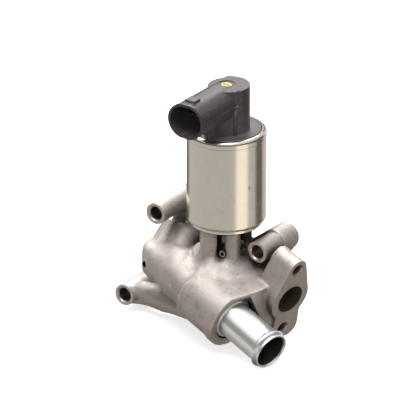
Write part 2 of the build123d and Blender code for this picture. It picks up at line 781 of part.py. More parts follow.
# Armature with vent holes and a pocket for the return spring
with BuildPart() as armature:
    with BuildSketch(valve_plane(armature_floor)):
        Circle(armature_radius)
    extrude(amount=armature_length)
    with BuildSketch(valve_plane(armature_floor)):
        Circle(stem_radius + seat_gap)
        with PolarLocations(armature_vent_circle, 4):
            Circle(armature_vent_radius)
    extrude(amount=armature_length - spring_pocket_depth - armature_bridge, mode=Mode.SUBTRACT)
    with BuildSketch(valve_plane(armature_top)):
        Circle(spring_pocket_radius)
    extrude(amount=-spring_pocket_depth, mode=Mode.SUBTRACT)
    with BuildSketch(valve_plane(armature_top)):
        with PolarLocations(armature_vent_circle, 4):
            Circle(armature_vent_radius)
    extrude(amount=-armature_length, mode=Mode.SUBTRACT)
    chamfer(armature.edges().filter_by(GeomType.CIRCLE).filter_by(
        lambda edge: abs(edge.radius - armature_radius) < 0.01), armature_bevel)
finish(armature, "armature")

# Pintle: cone head, stem and the end that sits in the armature
pintle_floor = seat_floor + seat_height - seat_chamfer - pintle_rest_depth + valve_seat_gap
stem_top = armature_floor + armature_length - spring_pocket_depth - armature_bridge - seat_gap
cone_top = pintle_floor + pintle_cone
with BuildPart() as valve_pintle:
    add(revolved(((0, pintle_floor), (pintle_tip_radius, pintle_floor),
                  (pintle_tip_radius + pintle_shoulder, pintle_floor + pintle_shoulder / 4),
                  (pintle_radius, cone_top), (pintle_radius, cone_top + pintle_rim),
                  (stem_radius, cone_top + pintle_rim + pintle_back), (stem_radius, stem_top - stem_point),
                  (stem_radius - stem_point, stem_top), (0, stem_top))))
finish(valve_pintle, "valve_pintle")

# Upper pole, which pulls the armature, and the flux washer round it
with BuildPart() as upper_pole:
    add(revolved(((plunger_radius + running_gap, pole_pocket_roof), (spring_pocket_radius, pole_pocket_roof),
                  (spring_pocket_radius, pole_face), (armature_radius - pole_nose, pole_face),
                  (armature_radius, pole_face + pole_nose),
                  (armature_radius, washer_top), (pole_head_radius, washer_top),
                  (pole_head_radius, washer_top + pole_head_height),
                  (plunger_radius + running_gap, washer_top + pole_head_height))))
finish(upper_pole, "upper_pole")

with BuildPart() as flux_washer:
    with BuildSketch(valve_plane(bobbin_top)):
        Circle(can_inner_radius - seat_gap)
        Circle(armature_radius + seat_gap, mode=Mode.SUBTRACT)
    extrude(amount=flux_washer_thickness - seat_gap)
finish(flux_washer, "flux_washer")


def helical_spring(builder_name, mean_radius, wire_radius, turns, low, high):
    """Round-wire compression spring on the valve axis between two heights."""
    length = high - low - 2 * wire_radius
    with BuildPart() as coil_spring:
        with BuildLine():
            coil_path = Helix(length / turns, length, mean_radius,
                              center=(0, -valve_offset, low + wire_radius))
        with BuildSketch(Plane(origin=coil_path @ 0, z_dir=coil_path % 0)) as wire_section:
            Circle(wire_radius)
        sweep(wire_section.sketch, path=coil_path, is_frenet=True)
    finish(coil_spring, builder_name)


helical_spring("return_spring", return_spring_radius, return_spring_wire, return_spring_turns,
               spring_floor + spring_gap, pole_pocket_roof - spring_gap)

# Position sensor: plunger, wiper carriage, spring and resistor board
with BuildPart() as sensor_plunger:
    with BuildSketch(valve_plane(spring_floor)):
        Circle(plunger_radius)
    extrude(amount=wiper_floor + wiper_height - spring_floor)
    with BuildSketch(valve_plane(spring_floor)):
        Circle(plunger_radius + plunger_foot)
    extrude(amount=plunger_foot)
finish(sensor_plunger, "sensor_plunger")

with BuildPart() as sensor_wiper:
    with BuildSketch(valve_plane(wiper_floor)):
        Rectangle(wiper_width, wiper_depth)
    extrude(amount=wiper_height)
    with BuildSketch(valve_plane(wiper_floor + wiper_height / 2 - wiper_arm / 2)):
        with Locations((wiper_width / 2, 0)):
            Rectangle(board_face - running_gap - wiper_width / 2, wiper_arm * 2,
                      align=(Align.MIN, Align.CENTER))
    extrude(amount=wiper_arm)
    with BuildSketch(valve_plane(wiper_floor)):
        Circle(plunger_radius + seat_gap)
    extrude(amount=wiper_height, mode=Mode.SUBTRACT)
finish(sensor_wiper, "sensor_wiper")

helical_spring("sensor_spring", sensor_spring_radius, sensor_spring_wire, sensor_spring_turns,
               wiper_floor + wiper_height + spring_gap, cavity_top - spring_gap)

with BuildPart() as sensor_board:
    with BuildSketch(valve_plane(washer_top + pole_head_height + loose_gap)):
        with Locations((board_face, 0)):
            Rectangle(board_thickness, board_width, align=(Align.MIN, Align.CENTER))
    extrude(amount=board_height)
finish(sensor_board, "sensor_board")

# Cap with the sensor turret and the plug socket
mouth_y = -valve_offset - plug_reach
with BuildPart() as cap:
    with BuildSketch(valve_plane(cap_floor)):
        Circle(can_inner_radius - seat_gap)
    extrude(amount=can_top - can_lip - seat_gap - cap_floor)
    with BuildSketch(valve_plane(cap_floor)):
        Circle(cap_radius)
    extrude(amount=cap_disc_top - cap_floor)
    fillet(cap.edges().group_by(Axis.Z)[-1], cap_edge_fillet)
    with BuildSketch(valve_plane(cap_disc_top - 1)):
        with Locations((turret_shift, 0)):
            Circle(turret_radius)
    extrude(amount=turret_height - turret_step + 1)
    with BuildSketch(valve_plane(turret_top - turret_step)):
        with Locations((turret_shift, 0)):
            Circle(turret_radius)
        with Locations((-turret_step_edge, 0)):
            Rectangle(2 * turret_radius, 3 * turret_radius, align=(Align.MAX, Align.CENTER),
                      mode=Mode.SUBTRACT)
    extrude(amount=turret_step)
    # plug socket: obround tube with a lip, a latch and a rib under it
    plug_mouth = Plane(origin=(0, mouth_y, plug_centre), x_dir=(1, 0, 0), z_dir=(0, -1, 0))
    with BuildSketch(plug_mouth):
        SlotOverall(plug_across, plug_tall)
    extrude(amount=-plug_reach)
    with BuildSketch(plug_mouth):
        SlotOverall(plug_across + 2 * plug_lip, plug_tall + 2 * plug_lip)
    extrude(amount=-plug_lip_length)
    latch_mid_y = mouth_y + plug_lip_length + latch_length
    with Locations((0, latch_mid_y, plug_centre + plug_tall / 2)):
        Box(latch_width, latch_length, 2 * latch_height)
    with BuildSketch(Plane(origin=(0, mouth_y + plug_lip_length, 0), x_dir=(0, 1, 0), z_dir=(1, 0, 0))):
        with BuildLine():
            Polyline((plug_reach / 4, plug_centre - plug_tall / 2 + 1),
                     (plug_reach / 2, cap_disc_top - 1), (plug_reach - plug_lip_length, cap_disc_top - 1),
                     (plug_reach - plug_lip_length, plug_centre - plug_tall / 2 + 1), close=True)
        make_face()
    extrude(amount=support_rib_width / 2, both=True)
    # hollows
    with BuildSketch(plug_mouth):
        SlotOverall(plug_across - 2 * plug_wall_thickness, plug_tall - 2 * plug_wall_thickness)
    extrude(amount=-plug_socket_depth, mode=Mode.SUBTRACT)
    with BuildSketch(valve_plane(cap_floor)):
        Circle(cavity_radius)
    extrude(amount=cavity_height, mode=Mode.SUBTRACT)
    with BuildSketch(valve_plane(cap_floor)):
        Circle(pole_head_radius + seat_gap)
    extrude(amount=pole_head_height + seat_gap, mode=Mode.SUBTRACT)
    with BuildSketch(plug_mouth.offset(-plug_socket_depth)):
        with GridLocations(terminal_pitch, 1, terminal_count, 1):
            Rectangle(terminal_width + 2 * seat_gap, terminal_thickness + 2 * seat_gap)
    extrude(amount=-terminal_tail - seat_gap, mode=Mode.SUBTRACT)
    with BuildSketch(valve_plane(turret_top - insert_recess_depth)):
        Circle(insert_recess_radius)
    extrude(amount=insert_recess_depth + 1, mode=Mode.SUBTRACT)
    with BuildSketch(valve_plane(turret_top - insert_recess_depth - insert_height)):
        Circle(insert_radius + seat_gap)
    extrude(amount=insert_height + 1, mode=Mode.SUBTRACT)
    # keying slot down the front of the turret
    slot_side = Vector(cos(radians(turret_slot_angle)), sin(radians(turret_slot_angle)), 0)
    slot_mouth = valve_centre + Vector(turret_shift, 0, turret_top) + slot_side * turret_radius
    with BuildSketch(Plane(origin=slot_mouth, x_dir=slot_side, z_dir=(0, 0, 1))):
        Rectangle(2 * turret_slot_depth, turret_slot_width)
    extrude(amount=-turret_slot_height, mode=Mode.SUBTRACT)
    # groove of the seal ring
    add(revolved(((seal_groove_radius, 0), (can_radius, 0), (can_radius, 2.2 * seal_radius),
                  (seal_groove_radius, 2.2 * seal_radius)), seal_height - 1.1 * seal_radius),
                  mode=Mode.SUBTRACT)
finish(cap, "cap")

with BuildPart() as cap_seal:
    with Locations((0, -valve_offset, seal_height)):
        Torus(can_inner_radius - seat_gap - seal_radius, seal_radius)
finish(cap_seal, "cap_seal")

# Blade terminals in the plug socket
with BuildPart() as terminal_pins:
    with BuildSketch(plug_mouth.offset(-plug_socket_depth - terminal_tail)):
        with GridLocations(terminal_pitch, 1, terminal_count, 1):
            Rectangle(terminal_width, terminal_thickness)
    extrude(amount=terminal_tail + terminal_reach)
    fillet(terminal_pins.edges().group_by(Axis.Y)[0], terminal_tip)
finish(terminal_pins, "terminal_pins")

# Brass adjusting screw that closes the sensor turret
with BuildPart() as brass_screw:
    with BuildSketch(valve_plane(turret_top - insert_recess_depth - insert_height)):
        Circle(insert_radius)
    extrude(amount=insert_height)
    chamfer(brass_screw.edges().group_by(Axis.Z)[-1], edge_break)
    with BuildSketch(valve_plane(turret_top - insert_recess_depth)):
        Rectangle(insert_slot_length, insert_slot_width)
    extrude(amount=-insert_height / 3, mode=Mode.SUBTRACT)
finish(brass_screw, "brass_screw")
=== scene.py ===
# %% [markdown]
# # An exhaust gas recirculation valve, dressed in Blender
#
# The solids of the valve come from a CAD pack and stay where they are. This lesson gives each of
# them the finish of the real part: shot-blasted cast aluminium, zinc-nickel plated steel, bright
# hose tube, glass-filled plastic and brass. A few pieces are made again in Blender where the real
# surface is softer or finer than the CAD solid, such as the blends of the casting.

# %% Start: the CAD frame and its box
import json
import math

import bmesh
import bpy
from mathutils import Matrix, Vector

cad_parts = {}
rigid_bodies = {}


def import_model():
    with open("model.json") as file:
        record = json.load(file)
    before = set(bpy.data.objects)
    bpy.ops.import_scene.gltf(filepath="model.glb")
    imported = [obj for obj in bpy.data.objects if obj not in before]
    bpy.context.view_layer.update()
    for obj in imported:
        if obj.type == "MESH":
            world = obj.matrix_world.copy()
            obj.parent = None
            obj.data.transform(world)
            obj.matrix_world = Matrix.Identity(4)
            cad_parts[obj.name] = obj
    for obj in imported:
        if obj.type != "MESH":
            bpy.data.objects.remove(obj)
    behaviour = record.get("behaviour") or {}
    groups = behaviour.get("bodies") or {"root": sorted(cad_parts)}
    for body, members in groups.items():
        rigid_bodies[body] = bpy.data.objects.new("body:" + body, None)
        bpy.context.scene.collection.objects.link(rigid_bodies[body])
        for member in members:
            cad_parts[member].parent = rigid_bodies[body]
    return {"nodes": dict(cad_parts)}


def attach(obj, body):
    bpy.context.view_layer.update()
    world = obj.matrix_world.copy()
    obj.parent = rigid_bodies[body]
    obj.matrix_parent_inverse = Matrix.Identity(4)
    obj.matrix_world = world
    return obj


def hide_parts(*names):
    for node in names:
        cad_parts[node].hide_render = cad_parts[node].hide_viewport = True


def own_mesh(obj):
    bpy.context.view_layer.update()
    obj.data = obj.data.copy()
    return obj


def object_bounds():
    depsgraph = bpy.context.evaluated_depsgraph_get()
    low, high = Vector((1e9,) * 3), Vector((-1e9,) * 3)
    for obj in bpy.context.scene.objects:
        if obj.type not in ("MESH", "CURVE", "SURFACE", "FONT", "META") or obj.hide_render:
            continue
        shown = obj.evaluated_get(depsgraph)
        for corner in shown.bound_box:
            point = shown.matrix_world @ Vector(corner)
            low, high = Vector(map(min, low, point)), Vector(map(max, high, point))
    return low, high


for left_over in list(bpy.data.objects):
    bpy.data.objects.remove(left_over)
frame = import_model()
nodes = frame["nodes"]
cad_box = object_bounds()
MM = 0.001
print("CAD nodes:", len(nodes), "box in mm:", [[round(x / MM, 1) for x in corner] for corner in cad_box])


def placed(name, data):
    """A new object in the scene, which holds a mesh, a lamp or a camera."""
    made = bpy.data.objects.new(name, data)
    bpy.context.scene.collection.objects.link(made)
    return made


# %% [markdown]
# ## The frame of the slanted barrel
#
# The hose barrel and the gas outlet share one tilted direction. Three unit vectors describe it:
# along the barrel, across it towards the engine, and up. Every machined feature of the housing is
# placed by them or by the valve axis, which is upright.

# %% Directions and main centres, in metres
VALVE_Y = -27.0 * MM
TILT = math.radians(17.6)
YAW = math.radians(12.3)
FORWARD = Vector((math.cos(TILT) * math.cos(YAW), -math.cos(TILT) * math.sin(YAW), -math.sin(TILT)))
ACROSS = Vector((math.sin(YAW), math.cos(YAW), 0))
UP = FORWARD.cross(ACROSS)
ENGINE_WARD = Vector((0, 1, 0))
RIM = Vector((23.7, -53.0, -11.5)) * MM


def from_rim(across, up, forward):
    """A point given in millimetres from the middle of the socket's rim."""
    return RIM + (ACROSS * across + UP * up + FORWARD * forward) * MM


def turned_to(way):
    """The rotation that turns Z to a direction."""
    return way.to_track_quat("Z", "Y").to_matrix().to_4x4()


OUTLET = from_rim(30.3, 14.3, 13.2)
print("outlet centre in mm:", [round(x / MM, 1) for x in OUTLET])

# %% [markdown]
# ## Camera
#
# The photograph was taken from the front right and from above, with so long a lens that upright
# lines stay upright. A camera eight metres away with a narrow view gives the same look. Its lens
# follows from the number of pixels that a metre has in the picture.

# %% Camera
AZIMUTH = math.radians(34.8)
ELEVATION = math.radians(23.6)
DISTANCE = 8.0
PIXELS_PER_METRE = 1663.0
PICTURE_PIXELS = 400
ANCHOR = Vector((0, VALVE_Y, 40 * MM))
ANCHOR_PIXEL = (226.3, 217.6)

to_right = Vector((math.cos(AZIMUTH), math.sin(AZIMUTH), 0))
to_camera = Vector((math.sin(AZIMUTH) * math.cos(ELEVATION), -math.cos(AZIMUTH) * math.cos(ELEVATION),
                    math.sin(ELEVATION)))
to_top = to_camera.cross(to_right)
target = (ANCHOR + to_right * ((PICTURE_PIXELS / 2 - ANCHOR_PIXEL[0]) / PIXELS_PER_METRE)
          - to_top * ((PICTURE_PIXELS / 2 - ANCHOR_PIXEL[1]) / PIXELS_PER_METRE))
camera = placed("camera", bpy.data.cameras.new("camera"))
turned = Matrix((to_right, to_top, to_camera)).transposed().to_4x4()
camera.matrix_world = Matrix.Translation(target + to_camera * DISTANCE) @ turned
camera.data.sensor_width = 36.0
camera.data.lens = camera.data.sensor_width * DISTANCE * PIXELS_PER_METRE / PICTURE_PIXELS
camera.data.clip_end = 60.0
bpy.context.scene.camera = camera
print("lens in mm:", round(camera.data.lens, 1))

# %% [markdown]
# ## Nodes and colours
#
# A material is a small graph. One function adds a node, gives its inputs values or links, and hands
# it back, which keeps each graph readable from top to bottom. Colours are written as hex values, as
# a colour picker shows them, and turned to the linear light that the renderer works in.


# %% Helpers for shader and geometry graphs
def linear(hex_colour):
    channels = [int(hex_colour[i:i + 2], 16) / 255 for i in (1, 3, 5)]
    return [c / 12.92 if c <= 0.04045 else ((c + 0.055) / 1.055) ** 2.4 for c in channels] + [1.0]


def add(tree, kind, inputs=None, **settings):
    """Adds one node. inputs gives each socket, by name or number, a value or another node's socket."""
    made = tree.nodes.new(kind)
    for name, value in settings.items():
        setattr(made, name, value)
    for name, value in (inputs or {}).items():
        if isinstance(value, bpy.types.NodeSocket):
            tree.links.new(value, made.inputs[name])
        else:
            made.inputs[name].default_value = value
    return made


def per(millimetres):
    """Noise scale, in features per metre, for a feature of that size."""
    return 1 / (millimetres * MM)


def new_surface(name, **values):
    """A material with one Principled shader, whose plain values are set on its own sockets."""
    material = bpy.data.materials.new(name)
    material.use_nodes = True
    tree = material.node_tree
    tree.nodes.clear()
    shader = add(tree, "ShaderNodeBsdfPrincipled", {k.replace("_", " "): v for k, v in values.items()})
    add(tree, "ShaderNodeOutputMaterial", {"Surface": shader.outputs[0]})
    place = add(tree, "ShaderNodeTexCoord").outputs["Object"]
    return material, tree, shader, place


def painted_crevice_tone(tree, tone, reach, painted_colour, amount):
    """Paints a colour where other walls stand close, within a reach in millimetres: a dark one as painted
    shade, a pale one as painted fill light.
    """
    near = add(tree, "ShaderNodeAmbientOcclusion", {"Distance": reach * MM}, samples=8)
    shut_in = add(tree, "ShaderNodeMapRange", {"Value": near.outputs["AO"], "From Min": 0.9, "From Max": 0.25,
                                               "To Max": amount})
    return add(tree, "ShaderNodeMix", {"Factor": shut_in.outputs[0], "A": tone, "B": linear(painted_colour)},
               data_type="RGBA").outputs[2]


def finish_surface(tree, shader, colour, roughness, relief, edges=None):
    """Links what ends every surface. roughness is a pattern and its lowest and highest value; relief is a
    height, a strength and a depth in millimetres; edges is a normal that the relief starts from."""
    pattern, low, high = roughness
    height, strength, depth = relief
    rough = add(tree, "ShaderNodeMapRange", {"Value": pattern, "To Min": low, "To Max": high})
    bump = add(tree, "ShaderNodeBump", {"Strength": strength, "Distance": depth * MM, "Height": height})
    if edges is not None:
        tree.links.new(edges, bump.inputs["Normal"])
    for name, value in (("Base Color", colour), ("Roughness", rough.outputs[0]), ("Normal", bump.outputs[0])):
        tree.links.new(value, shader.inputs[name])


# %% [markdown]
# ## Light and background
#
# Metal looks like what it reflects. The photograph has white all round, with soft lamps and dark
# cards beside the part that draw the long dark stripes on the can. The world is white wherever the
# camera or a reflection looks, and lights the matt surfaces more gently, least of all from below. The
# cards, a band round the front and a table are seen only by reflections, as if they were held
# just outside the picture. The floor is seen only by the camera and takes a faint shadow.

# %% World, floor, lamps and cards
scene = bpy.context.scene
scene.view_settings.view_transform = "Standard"
world = bpy.data.worlds.new("studio")
scene.world = world
world.use_nodes = True
sky = world.node_tree
sky.nodes.clear()
path = add(sky, "ShaderNodeLightPath")
seen = add(sky, "ShaderNodeMath", {0: path.outputs["Is Camera Ray"], 1: path.outputs["Is Glossy Ray"]},
           operation="MAXIMUM")
seen = add(sky, "ShaderNodeMath", {0: seen.outputs[0], 1: path.outputs["Is Transmission Ray"]},
           operation="MAXIMUM")
heading = add(sky, "ShaderNodeSeparateXYZ", {0: add(sky, "ShaderNodeTexCoord").outputs["Generated"]})
from_above = add(sky, "ShaderNodeMapRange", {"Value": heading.outputs[2], "From Min": -0.35, "From Max": 0.6,
                                             "To Min": 0.20, "To Max": 0.78})
soft_sky = add(sky, "ShaderNodeBackground", {"Color": linear("#F6F4F2"), "Strength": from_above.outputs[0]})
white_sky = add(sky, "ShaderNodeBackground", {"Color": (1, 1, 1, 1), "Strength": 1.0})
both = add(sky, "ShaderNodeMixShader", {0: seen.outputs[0], 1: soft_sky.outputs[0], 2: white_sky.outputs[0]})
add(sky, "ShaderNodeOutputWorld", {"Surface": both.outputs[0]})

AROUND = Vector((0, VALVE_Y, 35 * MM))


def direction(right_of_camera, height):
    """Unit vector at an angle to the right of the camera and an angle above level, in degrees."""
    turn = AZIMUTH + math.radians(right_of_camera)
    rise = math.radians(height)
    return Vector((math.sin(turn) * math.cos(rise), -math.cos(turn) * math.cos(rise), math.sin(rise)))


def facing(towards, distance):
    """Places something at a distance, with its -Z side turned to the part."""
    return Matrix.Translation(AROUND + towards * distance) @ turned_to(towards)


LAMPS = (  # name, angle right of the camera, height, distance, width, length, watts, colour
    ("key", -35, 77, 0.9, 0.60, 0.60, 6.6, "#FFFFFF"),
    ("strip", 45, -22, 0.6, 0.36, 0.36, 0.34, "#FFF6DC"),
    ("rim", 190, 50, 1.0, 0.60, 0.40, 8.0, "#FFFFFF"),
)
for name, turn, height, distance, width, length, watts, colour in LAMPS:
    lamp = bpy.data.lights.new(name, "AREA")
    lamp.shape = "RECTANGLE"
    lamp.size = width
    lamp.size_y = length
    lamp.energy = watts
    lamp.color = linear(colour)[:3]
    placed(name, lamp).matrix_world = facing(direction(turn, height), distance)


def flat_card(name, width, length):
    """A rectangle that is part of the studio, not of the valve."""
    sheet = bpy.data.meshes.new(name)
    w, h = width / 2, length / 2
    sheet.from_pydata([(-w, -h, 0), (w, -h, 0), (w, h, 0), (-w, h, 0)], [], [(0, 1, 2, 3)])
    card = placed(name, sheet)
    return card


def reflected_only(card, colour):
    """Shows a card in reflections alone. colour is a hex value, or a function that adds nodes for it."""
    for ray in ("camera", "diffuse", "transmission", "shadow"):
        setattr(card, "visible_" + ray, False)
    paper, tree, shader, place = new_surface("painted_" + card.name, Roughness=0.9)
    tree.nodes.remove(shader)
    glow = add(tree, "ShaderNodeEmission", {"Strength": 1.0})
    if callable(colour):
        tree.links.new(colour(tree, place), glow.inputs["Color"])
    else:
        glow.inputs["Color"].default_value = linear(colour)
    tree.links.new(glow.outputs[0], tree.nodes["Material Output"].inputs["Surface"])
    card.data.materials.append(paper)


SHADED_REACH = 0.35
PALE_REACH = 1.0


def table_tone(tree, place):
    """Darker under the part, where it shades the table, and pale further out."""
    reach = add(tree, "ShaderNodeVectorMath", {0: place}, operation="LENGTH").outputs["Value"]
    near = add(tree, "ShaderNodeMapRange", {"Value": reach, "From Max": SHADED_REACH})
    far = add(tree, "ShaderNodeMapRange", {"Value": reach, "From Min": SHADED_REACH, "From Max": PALE_REACH})
    tone = add(tree, "ShaderNodeMix", {"Factor": near.outputs[0], "A": linear("#262220"),
                                       "B": linear("#98938D")}, data_type="RGBA")
    tone = add(tree, "ShaderNodeMix", {"Factor": far.outputs[0], "A": tone.outputs[2],
                                       "B": linear("#DEDAD5")}, data_type="RGBA")
    return tone.outputs[2]


CARDS = (  # name, angle right of the camera, height, distance, width, length, grey
    ("card_right", 109, -15, 0.7, 0.40, 1.30, "#6E6860"),
    ("card_back", 180, 22, 1.0, 1.1, 0.5, "#8F8A84"),
    ("card_back_left", -158, -15, 0.8, 0.60, 1.30, "#7C7874"),
)
for name, turn, height, distance, width, length, grey in CARDS:
    card = flat_card(name, width, length)
    card.matrix_world = facing(direction(turn, height), distance)
    reflected_only(card, grey)
TABLE_DROP = 0.45
GROUND_WIDTH = 6.0
table = flat_card("card_table", GROUND_WIDTH, GROUND_WIDTH)
table.location = AROUND - Vector((0, 0, TABLE_DROP))
reflected_only(table, table_tone)
BAND_RADIUS = 0.95
BAND_HEIGHTS = (-0.16, 0.50)
BAND_ANGLES = (-125, 125)
BAND_STEPS = 40
band_mesh = bpy.data.meshes.new("card_band")
turns = [BAND_ANGLES[0] + (BAND_ANGLES[1] - BAND_ANGLES[0]) * i / BAND_STEPS for i in range(BAND_STEPS + 1)]
corners = [AROUND + direction(turn, 0) * BAND_RADIUS + Vector((0, 0, height))
           for turn in turns for height in BAND_HEIGHTS]
band_mesh.from_pydata(corners, [], [(2 * i, 2 * i + 1, 2 * i + 3, 2 * i + 2) for i in range(BAND_STEPS)])
band = placed("card_band", band_mesh)
reflected_only(band, "#6F6A65")

FLOOR_GAP = 0.05 * MM
floor = flat_card("floor", GROUND_WIDTH, GROUND_WIDTH)
floor.location = (0, 0, cad_box[0][2] - FLOOR_GAP)
for ray in ("glossy", "diffuse", "shadow"):
    setattr(floor, "visible_" + ray, False)
floor_paint, tree, shader, place = new_surface("white_floor", Roughness=0.9)
tree.nodes.remove(shader)
path = add(tree, "ShaderNodeLightPath")
matt = add(tree, "ShaderNodeBsdfDiffuse", {"Color": linear("#F4F4F4")})
lit = add(tree, "ShaderNodeEmission", {"Color": (1, 1, 1, 1), "Strength": 0.6})
shadowed = add(tree, "ShaderNodeAddShader", {0: matt.outputs[0], 1: lit.outputs[0]})
mixed = add(tree, "ShaderNodeMixShader",
            {0: path.outputs["Is Camera Ray"], 1: matt.outputs[0], 2: shadowed.outputs[0]})
tree.links.new(mixed.outputs[0], tree.nodes["Material Output"].inputs["Surface"])
floor.data.materials.append(floor_paint)
print("lamps:", len(LAMPS), "cards:", len(CARDS))

# %% [markdown]
# ## Cast aluminium
#
# The housing is die-cast and then shot-blasted. The blasting leaves a dull, even grain about half a
# millimetre wide, warm grey with a hint of pink. That is too fine to show from this far, so it is
# drawn 0.9 mm wide. The dull skin scatters light as well as mirroring it, so it isn't fully metallic.
# Oil has stained it in blotches of about six millimetres, and small pores of the casting show where
# the blasting has opened them. Sharp outer edges carry a painted highlight, and concave creases are
# drawn darker. Pointiness, which tells how sharply the surface bends, finds both places, and painted
# shade darkens what other walls shut in within 20 mm.

# %% Shot-blasted die-cast aluminium
cast, tree, shader, place = new_surface("cast_aluminium_shot_blasted", Metallic=0.68)
cloud = add(tree, "ShaderNodeTexNoise", {"Vector": place, "Scale": per(14), "Detail": 3.0, "Roughness": 0.6})
grain = add(tree, "ShaderNodeTexNoise", {"Vector": place, "Scale": per(0.9), "Detail": 4.0,
                                         "Roughness": 0.65})
pits = add(tree, "ShaderNodeTexVoronoi", {"Vector": place, "Scale": per(1.6)})
tone = add(tree, "ShaderNodeMix", {"Factor": cloud.outputs[0], "A": linear("#A49C97"),
                                   "B": linear("#D3CBC6")}, data_type="RGBA")
tone = add(tree, "ShaderNodeMix", {"Factor": 0.26, "A": tone.outputs[2], "B": grain.outputs[1]},
           data_type="RGBA", blend_type="SOFT_LIGHT")
oil = add(tree, "ShaderNodeTexNoise", {"Vector": place, "Scale": per(6), "Detail": 7.0, "Roughness": 0.72})
stained = add(tree, "ShaderNodeMapRange", {"Value": oil.outputs[0], "From Min": 0.54, "From Max": 0.70,
                                           "To Max": 0.42})
tone = add(tree, "ShaderNodeMix", {"Factor": stained.outputs[0], "A": tone.outputs[2],
                                   "B": linear("#7A6C64")}, data_type="RGBA")
rubbed = add(tree, "ShaderNodeMapRange", {"Value": oil.outputs[0], "From Min": 0.44, "From Max": 0.34,
                                          "To Max": 0.4})
tone = add(tree, "ShaderNodeMix", {"Factor": rubbed.outputs[0], "A": tone.outputs[2], "B": linear("#E4DBD5")},
           data_type="RGBA")
bend = add(tree, "ShaderNodeNewGeometry").outputs["Pointiness"]
# Painted highlight: sharp outer edges are drawn lighter.
painted_edge_highlight = add(tree, "ShaderNodeMapRange", {"Value": bend, "From Min": 0.515, "From Max": 0.56, "To Max": 0.8})
# Concave creases are drawn darker.
crease_tone = add(tree, "ShaderNodeMapRange", {"Value": bend, "From Min": 0.485, "From Max": 0.44, "To Max": 0.55})
tone = add(tree, "ShaderNodeMix", {"Factor": painted_edge_highlight.outputs[0], "A": tone.outputs[2], "B": linear("#F2EAE4")},
           data_type="RGBA")
tone = add(tree, "ShaderNodeMix", {"Factor": crease_tone.outputs[0], "A": tone.outputs[2], "B": linear("#5D534C")},
           data_type="RGBA")
pore = add(tree, "ShaderNodeTexVoronoi", {"Vector": place, "Scale": per(3.4)})
patch = add(tree, "ShaderNodeTexNoise", {"Vector": place, "Scale": per(22), "Detail": 1.0})
size = add(tree, "ShaderNodeMapRange", {"Value": patch.outputs[0], "From Min": 0.48, "From Max": 0.7,
                                        "To Max": 0.13})
hole = add(tree, "ShaderNodeMath", {0: pore.outputs[0], 1: size.outputs[0]}, operation="LESS_THAN")
tone = add(tree, "ShaderNodeMix", {"Factor": hole.outputs[0], "A": tone.outputs[2], "B": linear("#2E2724")},
           data_type="RGBA")
height = add(tree, "ShaderNodeMath", {0: grain.outputs[0], 1: pits.outputs[0]}, operation="ADD")
height = add(tree, "ShaderNodeMath", {0: height.outputs[0], 1: hole.outputs[0]}, operation="SUBTRACT")
# Painted shade: darker where other walls stand within 20 mm, as on the deck under the can.
finish_surface(tree, shader, painted_crevice_tone(tree, tone.outputs[2], 20, "#3B322C", 0.9),
               roughness=(grain.outputs[0], 0.48, 0.66), relief=(height.outputs[0], 0.45, 0.12))
print(cast.name, "grain 0.9 mm")

# %% [markdown]
# ## Machined aluminium
#
# Where a cutter has passed, the cast skin is gone: the mounting face, the flange face, the ends of
# the screw bosses and all bores. Cut metal is smoother, with fine round marks of the tool. They are
# drawn about three quarters of a millimetre apart, coarser than real ones, so that they can show.

# %% Milled aluminium
milled, tree, shader, place = new_surface("milled_aluminium", Metallic=1.0)
swirl = add(tree, "ShaderNodeTexWave", {"Vector": place, "Scale": per(2.4), "Distortion": 1.2, "Detail": 2.0},
            wave_type="RINGS", rings_direction="SPHERICAL")
smear = add(tree, "ShaderNodeTexNoise", {"Vector": place, "Scale": per(5), "Detail": 3.0})
tone = add(tree, "ShaderNodeMix", {"Factor": smear.outputs[0], "A": linear("#A89F98"),
                                   "B": linear("#CFC8C1")}, data_type="RGBA")
# Painted shade: darker inside the holes and where other walls stand within 7 mm.
finish_surface(tree, shader, painted_crevice_tone(tree, tone.outputs[2], 7, "#1D1815", 0.9),
               roughness=(smear.outputs[0], 0.30, 0.46), relief=(swirl.outputs[1], 0.18, 0.02))
print(milled.name)

# %% [markdown]
# ## Soot and painted shade in the gas passages
#
# Exhaust gas leaves dry soot on the walls it passes: nearly black, matt, and thicker in flakes about
# two millimetres wide with the brown of burnt oil between them. The near-black is also painted shade,
# standing for the shade deep inside the passages.

# %% Soot and painted shade on aluminium
soot_and_shade, tree, shader, place = new_surface("soot_and_shade_aluminium", Metallic=0.2)
flakes = add(tree, "ShaderNodeTexNoise", {"Vector": place, "Scale": per(2), "Detail": 5.0, "Roughness": 0.7})
tone = add(tree, "ShaderNodeMix", {"Factor": flakes.outputs[0], "A": linear("#1A1411"),
                                   "B": linear("#6B5A4E")}, data_type="RGBA")
finish_surface(tree, shader, tone.outputs[2],
               roughness=(flakes.outputs[0], 0.85, 0.55), relief=(flakes.outputs[0], 0.5, 0.2))
print(soot_and_shade.name)

# %% [markdown]
# ## Plated steel of the can
#
# The can is deep-drawn from sheet and plated with zinc-nickel: a satin, faintly yellow grey. The
# drawing leaves fine upright lines, so its noise is stretched along the axis. A few soft smudges and
# thin scratches come from handling, and one small dark mark from the knock of a tool.

